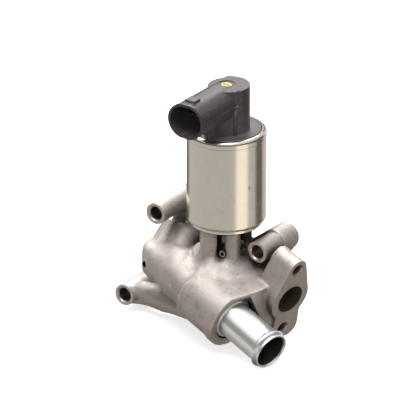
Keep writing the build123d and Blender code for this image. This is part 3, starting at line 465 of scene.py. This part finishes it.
# %% Zinc-nickel plated sheet steel
plated, tree, shader, place = new_surface("zinc_nickel_plated_steel", Metallic=1.0)
stretch = add(tree, "ShaderNodeMapping", {"Vector": place, "Scale": (1, 1, 0.04)})
lines = add(tree, "ShaderNodeTexNoise", {"Vector": stretch.outputs[0], "Scale": per(1.1), "Detail": 3.0})
smudge = add(tree, "ShaderNodeTexNoise", {"Vector": place, "Scale": per(11), "Detail": 5.0, "Roughness": 0.6})
tone = add(tree, "ShaderNodeMix", {"Factor": smudge.outputs[0], "A": linear("#C5C1B8"),
                                   "B": linear("#D6D2C9")}, data_type="RGBA")
tone = add(tree, "ShaderNodeMix", {"Factor": 0.10, "A": tone.outputs[2], "B": lines.outputs[1]},
           data_type="RGBA", blend_type="SOFT_LIGHT")
SCRATCH_WIDTH = 0.012
scratch_place = add(tree, "ShaderNodeMapping", {"Vector": place, "Rotation": (0.4, 0.9, 0.3),
                                                "Scale": (1, 0.05, 1)})
scratch = add(tree, "ShaderNodeTexVoronoi", {"Vector": scratch_place.outputs[0], "Scale": per(9)},
              feature="DISTANCE_TO_EDGE")
scratched = add(tree, "ShaderNodeMapRange", {"Value": scratch.outputs[0], "From Max": SCRATCH_WIDTH,
                                             "To Min": 0.12, "To Max": 0.0})
tone = add(tree, "ShaderNodeMix", {"Factor": scratched.outputs[0], "A": tone.outputs[2],
                                   "B": linear("#6E675D")}, data_type="RGBA")
KNOCK = tuple(Vector((22.5, -35.4, 68)) * MM)
KNOCK_SQUEEZE = (1.6, 1.6, 0.7)
from_knock = add(tree, "ShaderNodeVectorMath", {0: place, 1: KNOCK}, operation="SUBTRACT")
slim = add(tree, "ShaderNodeVectorMath", {0: from_knock.outputs[0], 1: KNOCK_SQUEEZE}, operation="MULTIPLY")
far = add(tree, "ShaderNodeVectorMath", {0: slim.outputs[0]}, operation="LENGTH")
knocked = add(tree, "ShaderNodeMapRange", {"Value": far.outputs["Value"], "From Min": 1.3 * MM,
                                           "From Max": 0.6 * MM, "To Max": 0.55})
tone = add(tree, "ShaderNodeMix", {"Factor": knocked.outputs[0], "A": tone.outputs[2],
                                   "B": linear("#5E574E")}, data_type="RGBA")
finish_surface(tree, shader, tone.outputs[2],
               roughness=(smudge.outputs[0], 0.19, 0.27), relief=(lines.outputs[0], 0.10, 0.03))
print(plated.name)

# %% [markdown]
# ## Bright tube
#
# The hose spigot is rolled from steel tube and plated bright. Its marks run round the tube, because
# it turned against the rolling tool, so the noise is fine along the barrel's direction and long
# across it. A Mapping node turns the pattern to that direction. A thin film on the plating scatters
# a little light, so it isn't fully metallic.

# %% Bright plated tube
bright, tree, shader, place = new_surface("bright_plated_tube", Metallic=0.8)
along_barrel = Matrix((ACROSS, UP, FORWARD)).to_euler()
local = add(tree, "ShaderNodeMapping", {"Vector": place, "Rotation": tuple(along_barrel)})
rings = add(tree, "ShaderNodeMapping", {"Vector": local.outputs[0], "Scale": (0.05, 0.05, 1)})
marks = add(tree, "ShaderNodeTexNoise", {"Vector": rings.outputs[0], "Scale": per(1.8), "Detail": 2.0})
stain = add(tree, "ShaderNodeTexNoise", {"Vector": place, "Scale": per(6), "Detail": 4.0})
tone = add(tree, "ShaderNodeMix", {"Factor": stain.outputs[0], "A": linear("#E6EAEC"),
                                   "B": linear("#F5F7F8")}, data_type="RGBA")
finish_surface(tree, shader, tone.outputs[2],
               roughness=(marks.outputs[0], 0.26, 0.31), relief=(marks.outputs[0], 0.005, 0.02))
print(bright.name)

# %% [markdown]
# ## Black plastic
#
# Cap and plug socket are moulded in glass-filled polyester. The mould is spark-eroded, which leaves
# a fine matt grain, and the glass fibres show as faint paler flow streaks along the plug. It is not
# quite black: warm grey with a little purple. It is scuffed in thin lines and dusty in pale patches,
# and a pale colour painted into the corners and inside the plug lifts their shade as painted light.

# %% Glass-filled polyester
plastic, tree, shader, place = new_surface("glass_filled_polyester", IOR=1.57)
flow = add(tree, "ShaderNodeMapping", {"Vector": place, "Scale": (1, 0.12, 1)})
streak = add(tree, "ShaderNodeTexNoise", {"Vector": flow.outputs[0], "Scale": per(2.2), "Detail": 4.0})
erosion = add(tree, "ShaderNodeTexNoise", {"Vector": place, "Scale": per(0.45), "Detail": 2.0})
dust = add(tree, "ShaderNodeTexNoise", {"Vector": place, "Scale": per(5), "Detail": 6.0, "Roughness": 0.7})
tone = add(tree, "ShaderNodeMix", {"Factor": streak.outputs[0], "A": linear("#2C2628"),
                                   "B": linear("#3F393B")}, data_type="RGBA")
pale = add(tree, "ShaderNodeMapRange", {"Value": dust.outputs[0], "From Min": 0.58, "From Max": 0.75,
                                        "To Max": 0.35})
tone = add(tree, "ShaderNodeMix", {"Factor": pale.outputs[0], "A": tone.outputs[2], "B": linear("#6B6264")},
           data_type="RGBA")
scuff_place = add(tree, "ShaderNodeMapping", {"Vector": place, "Rotation": (0.5, 0.2, 0.35),
                                              "Scale": (1, 0.06, 1)})
scuff = add(tree, "ShaderNodeTexNoise", {"Vector": scuff_place.outputs[0], "Scale": per(1.3), "Detail": 5.0})
scuffed = add(tree, "ShaderNodeMapRange", {"Value": scuff.outputs[0], "From Min": 0.6, "From Max": 0.72,
                                           "To Max": 0.4})
tone = add(tree, "ShaderNodeMix", {"Factor": scuffed.outputs[0], "A": tone.outputs[2],
                                   "B": linear("#857B7E")}, data_type="RGBA")
# Painted light: a pale colour lifts the shade in the corners and inside the plug.
crease_tone = painted_crevice_tone(tree, tone.outputs[2], 14, "#857D81", 0.8)
rounded = add(tree, "ShaderNodeBevel", {"Radius": 0.25 * MM}, samples=6)
finish_surface(tree, shader, crease_tone,
               roughness=(dust.outputs[0], 0.36, 0.55), relief=(erosion.outputs[0], 0.25, 0.05),
               edges=rounded.outputs[0])
print(plastic.name)

# %% [markdown]
# ## Small and inner parts
#
# Seen in a cutaway or when the valve is taken apart, the inner parts tell their metals by colour:
# bronze bushes, soft iron poles, enamelled copper, tinned blades. They share one recipe, a mottled
# colour with a grain of its own size, so one loop makes them all from a short table.

# %% Finishes of the small and inner parts
SMALL_FINISHES = {  # name: dark colour, light colour, metallic, roughness from, to, grain in mm, bump in mm
    "turned_brass": ("#B9A765", "#F0E6A4", 1.0, 0.22, 0.36, 0.5, 0.02),
    "zinc_plated_steel": ("#8C8780", "#B5B0A8", 1.0, 0.28, 0.42, 0.7, 0.02),
    "hardened_seat_steel": ("#6F6C68", "#96928C", 1.0, 0.25, 0.40, 0.6, 0.02),
    "sintered_bronze": ("#8A6A3C", "#B08E57", 1.0, 0.38, 0.52, 0.4, 0.04),
    "soft_iron_nickel_flash": ("#77746F", "#9C9993", 1.0, 0.30, 0.44, 0.9, 0.02),
    "moulded_nylon": ("#5E5A52", "#77736A", 0.0, 0.40, 0.55, 0.8, 0.03),
    "enamelled_copper": ("#7E3E1C", "#B4632E", 1.0, 0.18, 0.30, 0.9, 0.02),
    "drawn_stainless_tube": ("#9A9A98", "#BDBDBA", 1.0, 0.20, 0.30, 0.8, 0.01),
    "sooted_valve_steel": ("#3B3632", "#7F776E", 1.0, 0.35, 0.60, 1.2, 0.05),
    "oiled_spring_wire": ("#5B5650", "#837D75", 1.0, 0.25, 0.38, 0.6, 0.01),
    "fired_ceramic": ("#D8D3C4", "#EDE9DD", 0.0, 0.45, 0.60, 0.5, 0.02),
    "seal_rubber": ("#1B1A1A", "#2A2828", 0.0, 0.50, 0.70, 0.5, 0.03),
    "tinned_bronze_blade": ("#6F685E", "#938B80", 1.0, 0.35, 0.50, 0.5, 0.01),
}
small = {}
for name, (dark, light, metal, low, high, grain_size, depth) in SMALL_FINISHES.items():
    small[name], tree, shader, place = new_surface(name, Metallic=metal)
    grain = add(tree, "ShaderNodeTexNoise", {"Vector": place, "Scale": per(grain_size), "Detail": 4.0})
    mottle = add(tree, "ShaderNodeTexNoise", {"Vector": place, "Scale": per(6), "Detail": 3.0})
    mixed = add(tree, "ShaderNodeMath", {0: grain.outputs[0], 1: mottle.outputs[0], 2: 0.25},
                operation="MULTIPLY_ADD")
    tone = add(tree, "ShaderNodeMix", {"Factor": mixed.outputs[0], "A": linear(dark), "B": linear(light)},
               data_type="RGBA")
    rounded = add(tree, "ShaderNodeBevel", {"Radius": 0.12 * MM}, samples=4)
    finish_surface(tree, shader, tone.outputs[2],
                   roughness=(mottle.outputs[0], low, high), relief=(grain.outputs[0], 0.3, depth),
                   edges=rounded.outputs[0])
print("small finishes:", len(small))

# %% Each CAD node takes its finish
FINISH_OF = {
    "housing": cast, "hose_spigot": bright, "solenoid_can": plated, "base_plate": plated, "cap": plastic,
    "brass_screw": small["turned_brass"], "guide_pin": small["zinc_plated_steel"],
    "base_screws": small["zinc_plated_steel"], "core_plug": small["zinc_plated_steel"],
    "valve_seat": small["hardened_seat_steel"], "stem_scraper": small["hardened_seat_steel"],
    "stem_guide": small["sintered_bronze"], "stem_bush": small["sintered_bronze"],
    "lower_pole": small["soft_iron_nickel_flash"], "upper_pole": small["soft_iron_nickel_flash"],
    "flux_washer": small["soft_iron_nickel_flash"], "armature": small["soft_iron_nickel_flash"],
    "bobbin": small["moulded_nylon"], "sensor_wiper": small["moulded_nylon"],
    "coil_winding": small["enamelled_copper"], "armature_sleeve": small["drawn_stainless_tube"],
    "valve_pintle": small["sooted_valve_steel"], "sensor_plunger": small["drawn_stainless_tube"],
    "return_spring": small["oiled_spring_wire"], "sensor_spring": small["oiled_spring_wire"],
    "sensor_board": small["fired_ceramic"], "cap_seal": small["seal_rubber"],
    "terminal_pins": small["tinned_bronze_blade"],
}
for name, node in nodes.items():
    for slot in node.material_slots:
        slot.material = FINISH_OF[name]
print("nodes with a finish:", len(FINISH_OF))

# %% [markdown]
# ## The casting, made the way a foundry makes it
#
# The CAD housing has sharp inner corners, but molten metal leaves soft ones. So this piece is made
# like the real one. First the raw casting: a copy of the CAD solid with its bores filled and some
# stock left on the faces to be machined, turned into fine voxels and smoothed, which rounds every
# corner by about a millimetre. A few corners, listed with their reach, are smoothed much further. The
# front left post gets a square bar, as the photograph shows it, and a plug closes the small gap that
# the webs of the mounting plate leave. Then the machine shop: exact cylinders and slabs cut the bores
# and faces, with crisp edges. A boolean with the manifold solver does each cut in a moment. Voxels
# of 0.62 mm took the piece past 200,000 triangles, and those of 0.68 mm keep it below.


# %% Helpers for meshes
def as_mesh(shape, name):
    """Turns a bmesh into a mesh and frees it."""
    made = bpy.data.meshes.new(name)
    shape.to_mesh(made)
    shape.free()
    return made


def rod(start, end, radius, end_radius=None, sides=72):
    """Closed round bar or cone between two points, as a mesh."""
    bar = bmesh.new()
    axis = end - start
    bmesh.ops.create_cone(bar, cap_ends=True, segments=sides, radius1=radius,
                          radius2=radius if end_radius is None else end_radius, depth=axis.length)
    bar.transform(Matrix.Translation((start + end) / 2) @ turned_to(axis))
    return as_mesh(bar, "rod")


def ball(centre, radius):
    """Closed ball, as a mesh."""
    sphere = bmesh.new()
    bmesh.ops.create_uvsphere(sphere, u_segments=48, v_segments=24, radius=radius,
                              matrix=Matrix.Translation(centre))
    return as_mesh(sphere, "ball")


def joined(meshes, name):
    """One object from several meshes, which may overlap."""
    together = bmesh.new()
    for mesh in meshes:
        together.from_mesh(mesh)
    return placed(name, as_mesh(together, name))


def revolved(name, outline, place, sides=96):
    """A closed ring: an outline of (radius, along) in mm, turned once and put in place by a function."""
    rows = len(outline)
    turns = [2 * math.pi * i / sides for i in range(sides)]
    points = [place(radius * math.cos(turn), radius * math.sin(turn), along) for turn in turns
              for radius, along in outline]
    faces = [(i * rows + j, (i + 1) % sides * rows + j, (i + 1) % sides * rows + (j + 1) % rows,
              i * rows + (j + 1) % rows) for i in range(sides) for j in range(rows)]
    ring = bpy.data.meshes.new(name)
    ring.from_pydata(points, [], faces)
    turned = bmesh.new()
    turned.from_mesh(ring)
    bmesh.ops.recalc_face_normals(turned, faces=turned.faces)
    turned.to_mesh(ring)
    turned.free()
    return placed(name, ring)


MERGE_WITHIN = 0.001 * MM


def merged_copy(node_name):
    """A CAD node's loose triangles as one closed bmesh."""
    copy = bmesh.new()
    copy.from_mesh(nodes[node_name].data)
    bmesh.ops.remove_doubles(copy, verts=copy.verts, dist=MERGE_WITHIN)
    return copy


def baked(obj):
    """Applies the modifiers of an object and leaves a plain mesh."""
    graph = bpy.context.evaluated_depsgraph_get()
    made = bpy.data.meshes.new_from_object(obj.evaluated_get(graph))
    obj.modifiers.clear()
    obj.data = made


def smoothed(obj, crease=None):
    """Smooth shading, with a crease where faces meet at more than so many degrees."""
    for face in obj.data.polygons:
        face.use_smooth = True
    if crease is not None:
        obj.data.set_sharp_from_angle(angle=math.radians(crease))


# %% Machined features of the housing
SCREW_BOSSES = ((26.4, 25.9, 33.0), (-42.3, 37.0, 41.0), (-65.4, -22.4, 41.0))  # x, z and length in mm
POST_ANGLES = (-101, -41, 79, 136)
POST_CIRCLE = 15.05
DECK = 19.4
POST_TOP = 37.7
BARREL_BORE = 9.5
COOLANT_BORE = 8.0
GAS_BORE = 8.0
DUCT_BORE = 6.8
OUTLET_BORE = 9.4
SCREW_BORE = 4.15
FLANGE_HOLE, FLANGE_HOLE_OFFSET, FLANGE_HOLE_DEPTH = 3.4, 22, 16
SEAT_BORE = 9.23
BLIND_MOUTH = 13.2
DUCT_TURN = from_rim(0, 0, -58)
COOLANT_NECK = Vector((-38.5, -20, 12.5)) * MM
COOLANT_FACE = Vector((-38.5, 0, 12.5)) * MM
DUCT_START = Vector((0, -24.0, 9.4)) * MM
DUCT_END = OUTLET - FORWARD * 12 * MM
LOWER_CHAMBER = Vector((0, -27, -8)) * MM
GAS_NECK = Vector((0, -10, 0)) * MM
BLIND_SIDE = Vector((math.cos(math.radians(255)), math.sin(math.radians(255)), 0))
BOSS_MOUTHS = [Vector((x, -length, z)) * MM for x, z, length in SCREW_BOSSES]
FACES = [  # point, outward normal, reach in mm of the stock, and radius in mm of the slab that takes it off
    (Vector(), ENGINE_WARD, 200, 130), (OUTLET, FORWARD, 34, 40)]
FACES += [(mouth, -ENGINE_WARD, 7.5, 9.5) for mouth in BOSS_MOUTHS]
BOSS_CENTRE = Vector((DUCT_TURN.x - 9.7 * MM, DUCT_TURN.y + 2.7 * MM, 7 * MM))


def axis_point(height):
    """A point on the valve axis, at a height in millimetres."""
    return Vector((0, VALVE_Y, height * MM))


def post_point(angle, height):
    """A point on the axis of the post at an angle, at a height in millimetres."""
    turn = math.radians(angle)
    x, y = POST_CIRCLE * math.cos(turn) * MM, POST_CIRCLE * math.sin(turn) * MM
    return Vector((x, VALVE_Y + y, height * MM))


BORES = [  # mouth, end inside the metal, radius in mm, and whether the face round it is machined
    (RIM, from_rim(0, 0, -13), 11.28, False),  # press bore and counterbore of the hose spigot
    (RIM, from_rim(0, 0, -4), 14.0, False),
    (OUTLET, DUCT_END, OUTLET_BORE, True),
    (COOLANT_FACE, COOLANT_NECK, COOLANT_BORE, True),
    (Vector(), GAS_NECK, GAS_BORE, True),
    (axis_point(27), axis_point(14), 5.53, False),
    (axis_point(-19), axis_point(-14.9), 8.63, False),
    (Vector((7.0, -38, 23.0)) * MM, Vector((7.0, -22, 23.0)) * MM, 2.13, False),
    (BOSS_CENTRE + BLIND_SIDE * BLIND_MOUTH * MM, BOSS_CENTRE + BLIND_SIDE * 4.7 * MM, 2.1, False),
]
BORES += [(mouth, Vector((x, 2, z)) * MM, SCREW_BORE, True)
          for mouth, (x, z, _) in zip(BOSS_MOUTHS, SCREW_BOSSES)]
BORES += [(OUTLET + UP * side * FLANGE_HOLE_OFFSET * MM,
           OUTLET + (UP * side * FLANGE_HOLE_OFFSET - FORWARD * FLANGE_HOLE_DEPTH) * MM, FLANGE_HOLE, True)
          for side in (-1, 1)]
BORES += [(post_point(angle, POST_TOP), post_point(angle, POST_TOP - 12), 1.68, False)
          for angle in POST_ANGLES]
PASSAGES = [  # start, end and radius in mm of the cored passages; the first two carry coolant
    (DUCT_TURN, from_rim(0, 0, -12.5), BARREL_BORE),
    (DUCT_TURN, COOLANT_NECK, COOLANT_BORE),
    (axis_point(-15), axis_point(-1.9), 7.5),
    (axis_point(-2), axis_point(2), SEAT_BORE),
    (axis_point(1.9), axis_point(15), 10.0),
    (GAS_NECK, LOWER_CHAMBER, 6.9),
    (DUCT_START, DUCT_END, DUCT_BORE),
]
JOINTS = [  # where passages meet; the first two carry coolant
    (DUCT_TURN, BARREL_BORE), (COOLANT_NECK, COOLANT_BORE), (GAS_NECK, GAS_BORE), (DUCT_END, DUCT_BORE)]
COOLANT_RUNS = 2
print("bores:", len(BORES), "passages:", len(PASSAGES))

# %% The raw casting
SOFT_SPOTS = (  # centre and reach in mm of the corners that the mould leaves extra round
    (Vector((-40, -45, 8)) * MM, 17),
    (Vector((-2, -50, 17)) * MM, 15),
    (from_rim(-3, 18, -12), 13),
    (from_rim(-3, 18, -26), 11),
    (Vector((-50, -38, -20)) * MM, 13),
    (Vector((-28, -38, -20)) * MM, 15),
    (Vector((18, -43, 16)) * MM, 16),
    (Vector((9, -51, 18)) * MM, 8),
)
KEPT_FLAT = (  # near the mounting face, the blind hole and the third screw boss, nothing is blended
    lambda point: point.y > -2 * MM,
    lambda point: (point - BOSS_CENTRE - BLIND_SIDE * BLIND_MOUTH * MM).length < 3 * MM,
    lambda point: (point.xz - Vector(SCREW_BOSSES[2][:2]) * MM).length < 8.5 * MM,
)
STOCK = 1.5 * MM
FILL = 0.8 * MM
FLAT_WITHIN = 0.004 * MM
# In mm, how far the filling of a bore stands out of a machined face, or stays under a raw one
PLUG_PROUD, PLUG_SUNK = 1.0, 0.4
VOXEL = 0.68 * MM
CORNER_STEPS, BLEND_STEPS = 9, 150
SQUARE_POST = 6.6 * MM
solid = merged_copy("housing")


def leave_stock(point, normal, reach):
    """Moves the points of one flat face outwards, so that the cutter has something to take off."""
    moved = 0
    for vertex in solid.verts:
        away = vertex.co - point
        if abs(away.dot(normal)) < FLAT_WITHIN and away.length < reach * MM:
            vertex.co += normal * STOCK
            moved += 1
    return moved


moved = sum(leave_stock(point, normal, reach) for point, normal, reach, _ in FACES)
raw = as_mesh(solid, "raw_casting")
fills = [rod(start, end + (end - start).normalized() * FILL, radius * MM + FILL)
         for start, end, radius in PASSAGES]
for mouth, end, radius, machined in BORES:
    inwards = (end - mouth).normalized()
    start = mouth + inwards * (-PLUG_PROUD if machined else PLUG_SUNK) * MM
    fills.append(rod(start, end + inwards * FILL, radius * MM + FILL))
fills += [ball(centre, radius * MM + FILL) for centre, radius in JOINTS]
fills.append(rod(post_point(POST_ANGLES[0], DECK - 3), post_point(POST_ANGLES[0], POST_TOP - 0.2),
                 SQUARE_POST, sides=4))
WEBBED = Vector((-34.3, 0, 0)) * MM  # the small gap between three webs of the mounting plate
fills.append(rod(WEBBED + ENGINE_WARD * MM, WEBBED - ENGINE_WARD * 8 * MM, 4 * MM))
casting = joined([raw] + fills, "housing_casting")
remesh = casting.modifiers.new("voxels", "REMESH")
remesh.mode = "VOXEL"
remesh.voxel_size = VOXEL
soften = casting.modifiers.new("soft_corners", "SMOOTH")
soften.factor = 0.5
soften.iterations = CORNER_STEPS
baked(casting)
spots = casting.vertex_groups.new(name="soft_spots")
for vertex in casting.data.vertices:
    weight = max(1 - (vertex.co - centre).length / (reach * MM) for centre, reach in SOFT_SPOTS)
    if weight > 0 and not any(in_way(vertex.co) for in_way in KEPT_FLAT):
        spots.add([vertex.index], min(1.0, 2 * weight), "REPLACE")
blend = casting.modifiers.new("soft_blends", "SMOOTH")
blend.factor = 0.5
blend.iterations = BLEND_STEPS
blend.vertex_group = "soft_spots"
baked(casting)
print("stock points:", moved, "faces of the raw casting:", len(casting.data.polygons))

# %% The machine shop
SLAB = 6 * MM
OVER_CUT = 2.2
CHAMFER_DEPTH, CHAMFER_OVER, CHAMFER_WIDTH = 0.8, 0.2, 1.0


def slab(point, normal, radius):
    """A round block that starts at a face and covers the stock in front of it."""
    return rod(point, point + normal * SLAB, radius * MM, sides=48)


def countersink(mouth, outwards, radius):
    """The cone that breaks the edge of a hole, up to its mouth and a little beyond."""
    return rod(mouth - outwards * CHAMFER_DEPTH * MM, mouth + outwards * CHAMFER_OVER * MM, radius * MM,
               (radius + CHAMFER_WIDTH) * MM)


cutters = [slab(point, normal, radius) for point, normal, _, radius in FACES]
cutters += [countersink(mouth, -ENGINE_WARD, SCREW_BORE) for mouth in BOSS_MOUTHS]
cutters += [countersink(OUTLET + UP * side * FLANGE_HOLE_OFFSET * MM, FORWARD, FLANGE_HOLE)
            for side in (-1, 1)]
cutters += [rod(mouth - (end - mouth).normalized() * OVER_CUT * MM, end, radius * MM)
            for mouth, end, radius, _ in BORES]
# Painted shade as well as soot: the gas passages take the near-black finish.
soot_and_shade_cuts = [rod(OUTLET + FORWARD * 0.01 * MM, DUCT_END, OUTLET_BORE * MM),
         rod(Vector(), GAS_NECK, GAS_BORE * MM)]
soot_and_shade_cuts += [rod(start, end, radius * MM) for start, end, radius in PASSAGES[COOLANT_RUNS:]]
soot_and_shade_cuts += [ball(centre, radius * MM) for centre, radius in JOINTS[COOLANT_RUNS:]]
cutters += [rod(start, end, radius * MM) for start, end, radius in PASSAGES[:COOLANT_RUNS]]
cutters += [ball(centre, radius * MM) for centre, radius in JOINTS[:COOLANT_RUNS]]
cutters += soot_and_shade_cuts


def boxes_touch(one, other):
    """True when the boxes of two meshes overlap, so that they can't share one cut."""
    return all(one[0][i] < other[1][i] and other[0][i] < one[1][i] for i in range(3))


rounds = []
for cutter in cutters:
    corners = [v.co for v in cutter.vertices]
    box = [[min(c[i] for c in corners) for i in range(3)], [max(c[i] for c in corners) for i in range(3)]]
    for group in rounds:
        if not any(boxes_touch(box, other) for _, other in group):
            group.append((cutter, box))
            break
    else:
        rounds.append([(cutter, box)])
casting.data.materials.clear()
FINISHES = (cast, milled, soot_and_shade)
MILLED, SOOT_AND_SHADE = 1, 2
for finish in FINISHES:
    casting.data.materials.append(finish)
for cutter in cutters:
    index = SOOT_AND_SHADE if cutter in soot_and_shade_cuts else MILLED
    for face in cutter.polygons:
        face.material_index = index
for number, group in enumerate(rounds):
    tool = joined([cutter for cutter, _ in group], f"tool_{number}")
    for finish in FINISHES:
        tool.data.materials.append(finish)
    cut = casting.modifiers.new("cut", "BOOLEAN")
    cut.solver = "MANIFOLD"
    cut.operation = "DIFFERENCE"
    cut.object = tool
    baked(casting)
    bpy.data.objects.remove(tool)
CAST_CREASE, TURNED_CREASE = 32, 50
smoothed(casting, CAST_CREASE)
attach(casting, "housing")
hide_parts("housing")
print("cuts:", len(rounds), "faces:", len(casting.data.polygons),
      "machined:", sum(face.material_index == MILLED for face in casting.data.polygons))

# %% [markdown]
# ## Hose spigot
#
# The tube is rolled: its stop collar and hose bead have soft shoulders and its mouth is slightly
# flared. A profile of radius and distance along the barrel is turned once round the barrel's
# direction. The inside takes a darker finish.

# %% Rolled hose spigot
TUBE = 11.25
BORE = 10.25
COLLAR = 13.35
# The bore and the flared mouth, the hose bead, the plain tube, the collar's round shoulder, the stub
profile = [(BORE, -13), (BORE, 33.2), (BORE + 0.35, 34.3), (BORE + 0.6, 34.5), (TUBE + 0.1, 34.45),
           (TUBE + 0.3, 34.1), (TUBE + 0.12, 33.3)]
profile += [(TUBE + 1.5 * math.sin(math.pi * i / 10) ** 1.3, 33.0 - 4.3 * i / 10) for i in range(11)]
profile += [(TUBE, 27.6), (TUBE, 0.2), (TUBE + 0.25, -0.45)]
profile += [(COLLAR - 1.1 * (1 - math.sin(math.radians(i * 15))), -1.6 + 1.0 * math.cos(math.radians(i * 15)))
            for i in range(7)]
profile += [(COLLAR, -4), (TUBE, -4), (TUBE, -13)]
rolled = revolved("rolled_hose_spigot", profile, from_rim)
tube_mesh = rolled.data
for finish in (bright, small["sooted_valve_steel"]):
    tube_mesh.materials.append(finish)
for number, face in enumerate(tube_mesh.polygons):
    face.material_index = 1 if number % len(profile) == 0 else 0
smoothed(rolled, TURNED_CREASE)
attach(rolled, "housing")
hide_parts("hose_spigot")
print("spigot faces:", len(tube_mesh.polygons))

# %% [markdown]
# ## Threads and windings by Geometry Nodes
#
# The two flange holes are tapped M8, and the solenoid's coil is wound with enamelled wire. Both are a
# small profile that follows a spiral, so one Geometry Nodes tree makes them: a spiral curve, a round
# or three-sided profile, a sweep, and the finish. Its sizes are named inputs. The results are turned
# into plain meshes, which ride on the housing. Real turns of the coil would be too fine to show, so
# its wire is drawn a little over a millimetre thick, on a core that stands for the turns inside.

# %% Spiral tree
spiral_tree = bpy.data.node_groups.new("spiral", "GeometryNodeTree")
spiral_tree.interface.new_socket("Geometry", in_out="INPUT", socket_type="NodeSocketGeometry")
SPIRAL_INPUTS = {"Radius": "Float", "Length": "Float", "Turns": "Float", "Ridge": "Float", "Sides": "Int",
                 "Finish": "Material"}
spiral_ids = {}
for name, kind in SPIRAL_INPUTS.items():
    socket = spiral_tree.interface.new_socket(name, in_out="INPUT", socket_type="NodeSocket" + kind)
    spiral_ids[name] = socket.identifier
spiral_tree.interface.new_socket("Geometry", in_out="OUTPUT", socket_type="NodeSocketGeometry")
given = add(spiral_tree, "NodeGroupInput").outputs
spiral = add(spiral_tree, "GeometryNodeCurveSpiral", {
    "Resolution": 40, "Rotations": given["Turns"], "Start Radius": given["Radius"],
    "End Radius": given["Radius"], "Height": given["Length"]})
outline = add(spiral_tree, "GeometryNodeCurvePrimitiveCircle", {"Resolution": given["Sides"],
                                                                "Radius": given["Ridge"]})
swept = add(spiral_tree, "GeometryNodeCurveToMesh", {
    "Curve": spiral.outputs[0], "Profile Curve": outline.outputs[0], "Fill Caps": True})
single = add(spiral_tree, "GeometryNodeRealizeInstances", {0: swept.outputs[0]})
painted = add(spiral_tree, "GeometryNodeSetMaterial", {0: single.outputs[0], "Material": given["Finish"]})
add(spiral_tree, "NodeGroupOutput", {0: painted.outputs[0]})


def wound(name, foot, axis, *values):
    """A spiral ridge round an axis, from its foot, as a plain mesh. The values are the tree's inputs."""
    ridge = placed(name, bpy.data.meshes.new(name))
    nodes_step = ridge.modifiers.new("spiral", "NODES")
    nodes_step.node_group = spiral_tree
    for input_name, value in zip(SPIRAL_INPUTS, values):
        nodes_step[spiral_ids[input_name]] = value
    baked(ridge)
    ridge.data.transform(Matrix.Translation(foot) @ turned_to(axis))
    return ridge


# %% Threads of the flange holes
THREAD_LENGTH, THREAD_PITCH = 13.0 * MM, 1.25 * MM
THREAD_RADIUS, THREAD_SETBACK = 3.45 * MM, 0.9 * MM
THREAD_RIDGE, THREAD_SIDES = 0.42 * THREAD_PITCH, 3
for number, side in enumerate((-1, 1)):
    mouth = OUTLET + UP * side * FLANGE_HOLE_OFFSET * MM
    thread = wound(f"flange_thread_{number}", mouth - FORWARD * (THREAD_LENGTH + THREAD_SETBACK), FORWARD,
                   THREAD_RADIUS, THREAD_LENGTH, THREAD_LENGTH / THREAD_PITCH, THREAD_RIDGE, THREAD_SIDES,
                   milled)
    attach(thread, "housing")
    print(thread.name, "faces:", len(thread.data.polygons))

# %% Wound coil
WIRE = 0.56  # radius of the wire in mm
WIRE_SIDES = 8
COIL_TURNS = 32
COIL_OUTER, COIL_INNER, COIL_FOOT, COIL_TOP = 21.4, 13.32, 48.64, 86.56
WIRE_CIRCLE = COIL_OUTER - WIRE
enamel = FINISH_OF["coil_winding"]
core = revolved("wound_coil", [(COIL_INNER, COIL_FOOT), (WIRE_CIRCLE, COIL_FOOT), (WIRE_CIRCLE, COIL_TOP),
                               (COIL_INNER, COIL_TOP)],
                lambda x, y, z: axis_point(z) + Vector((x, y, 0)) * MM)
wire = wound("wire", axis_point(COIL_FOOT + WIRE), Vector((0, 0, 1)), WIRE_CIRCLE * MM,
             (COIL_TOP - COIL_FOOT - 2 * WIRE) * MM, COIL_TURNS, WIRE * MM, WIRE_SIDES, enamel)
coil = joined([core.data, wire.data], "wound_coil_winding")
for spare in (core, wire):
    bpy.data.objects.remove(spare)
coil.data.materials.append(enamel)
smoothed(coil, TURNED_CREASE)
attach(coil, "housing")
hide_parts("coil_winding")
print("coil faces:", len(coil.data.polygons))

# %% [markdown]
# ## Springs
#
# Both springs are pressed together as the valve opens. Here each is a smooth copy of its CAD wire, riding on
# the housing.

# %% Springs as smooth copies of their wire
SPRINGS = (("return_spring", 85.6), ("sensor_spring", 122.5))  # name and height of the end that stays, in mm
for name, fixed_end in SPRINGS:
    coil = placed(name + "_wire", as_mesh(merged_copy(name), name + "_wire"))
    smoothed(coil)
    coil.data.materials.append(FINISH_OF[name])
    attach(coil, "housing")
    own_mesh(coil)
    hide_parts(name)

# %% [markdown]
# ## Rib of the cap
#
# The mould of the cap leaves a fine feature that the solid keeps plain: a half-round rib with a
# small ledge on the front of the turret.

# %% Half-round rib on the turret
TURRET = Vector((1.75, -27, 0)) * MM
RIB_TURN = math.radians(-37)
rib_side = Vector((math.cos(RIB_TURN), math.sin(RIB_TURN), 0))
rib_centre = TURRET + rib_side * 12.2 * MM
RIB_PARTS = ((98.5, 117.4, 1.7, 1.7), (117.2, 118.4, 2.2, 1.9))  # foot, top, radius at foot and top, in mm
rib = joined([rod(rib_centre + Vector((0, 0, foot)) * MM, rib_centre + Vector((0, 0, top)) * MM, low * MM,
                  high * MM, sides=32) for foot, top, low, high in RIB_PARTS], "turret_rib")
for face in rib.data.polygons:
    face.use_smooth = len(face.vertices) == 4
rib.data.materials.append(plastic)
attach(rib, "housing")
print("rib faces:", len(rib.data.polygons))
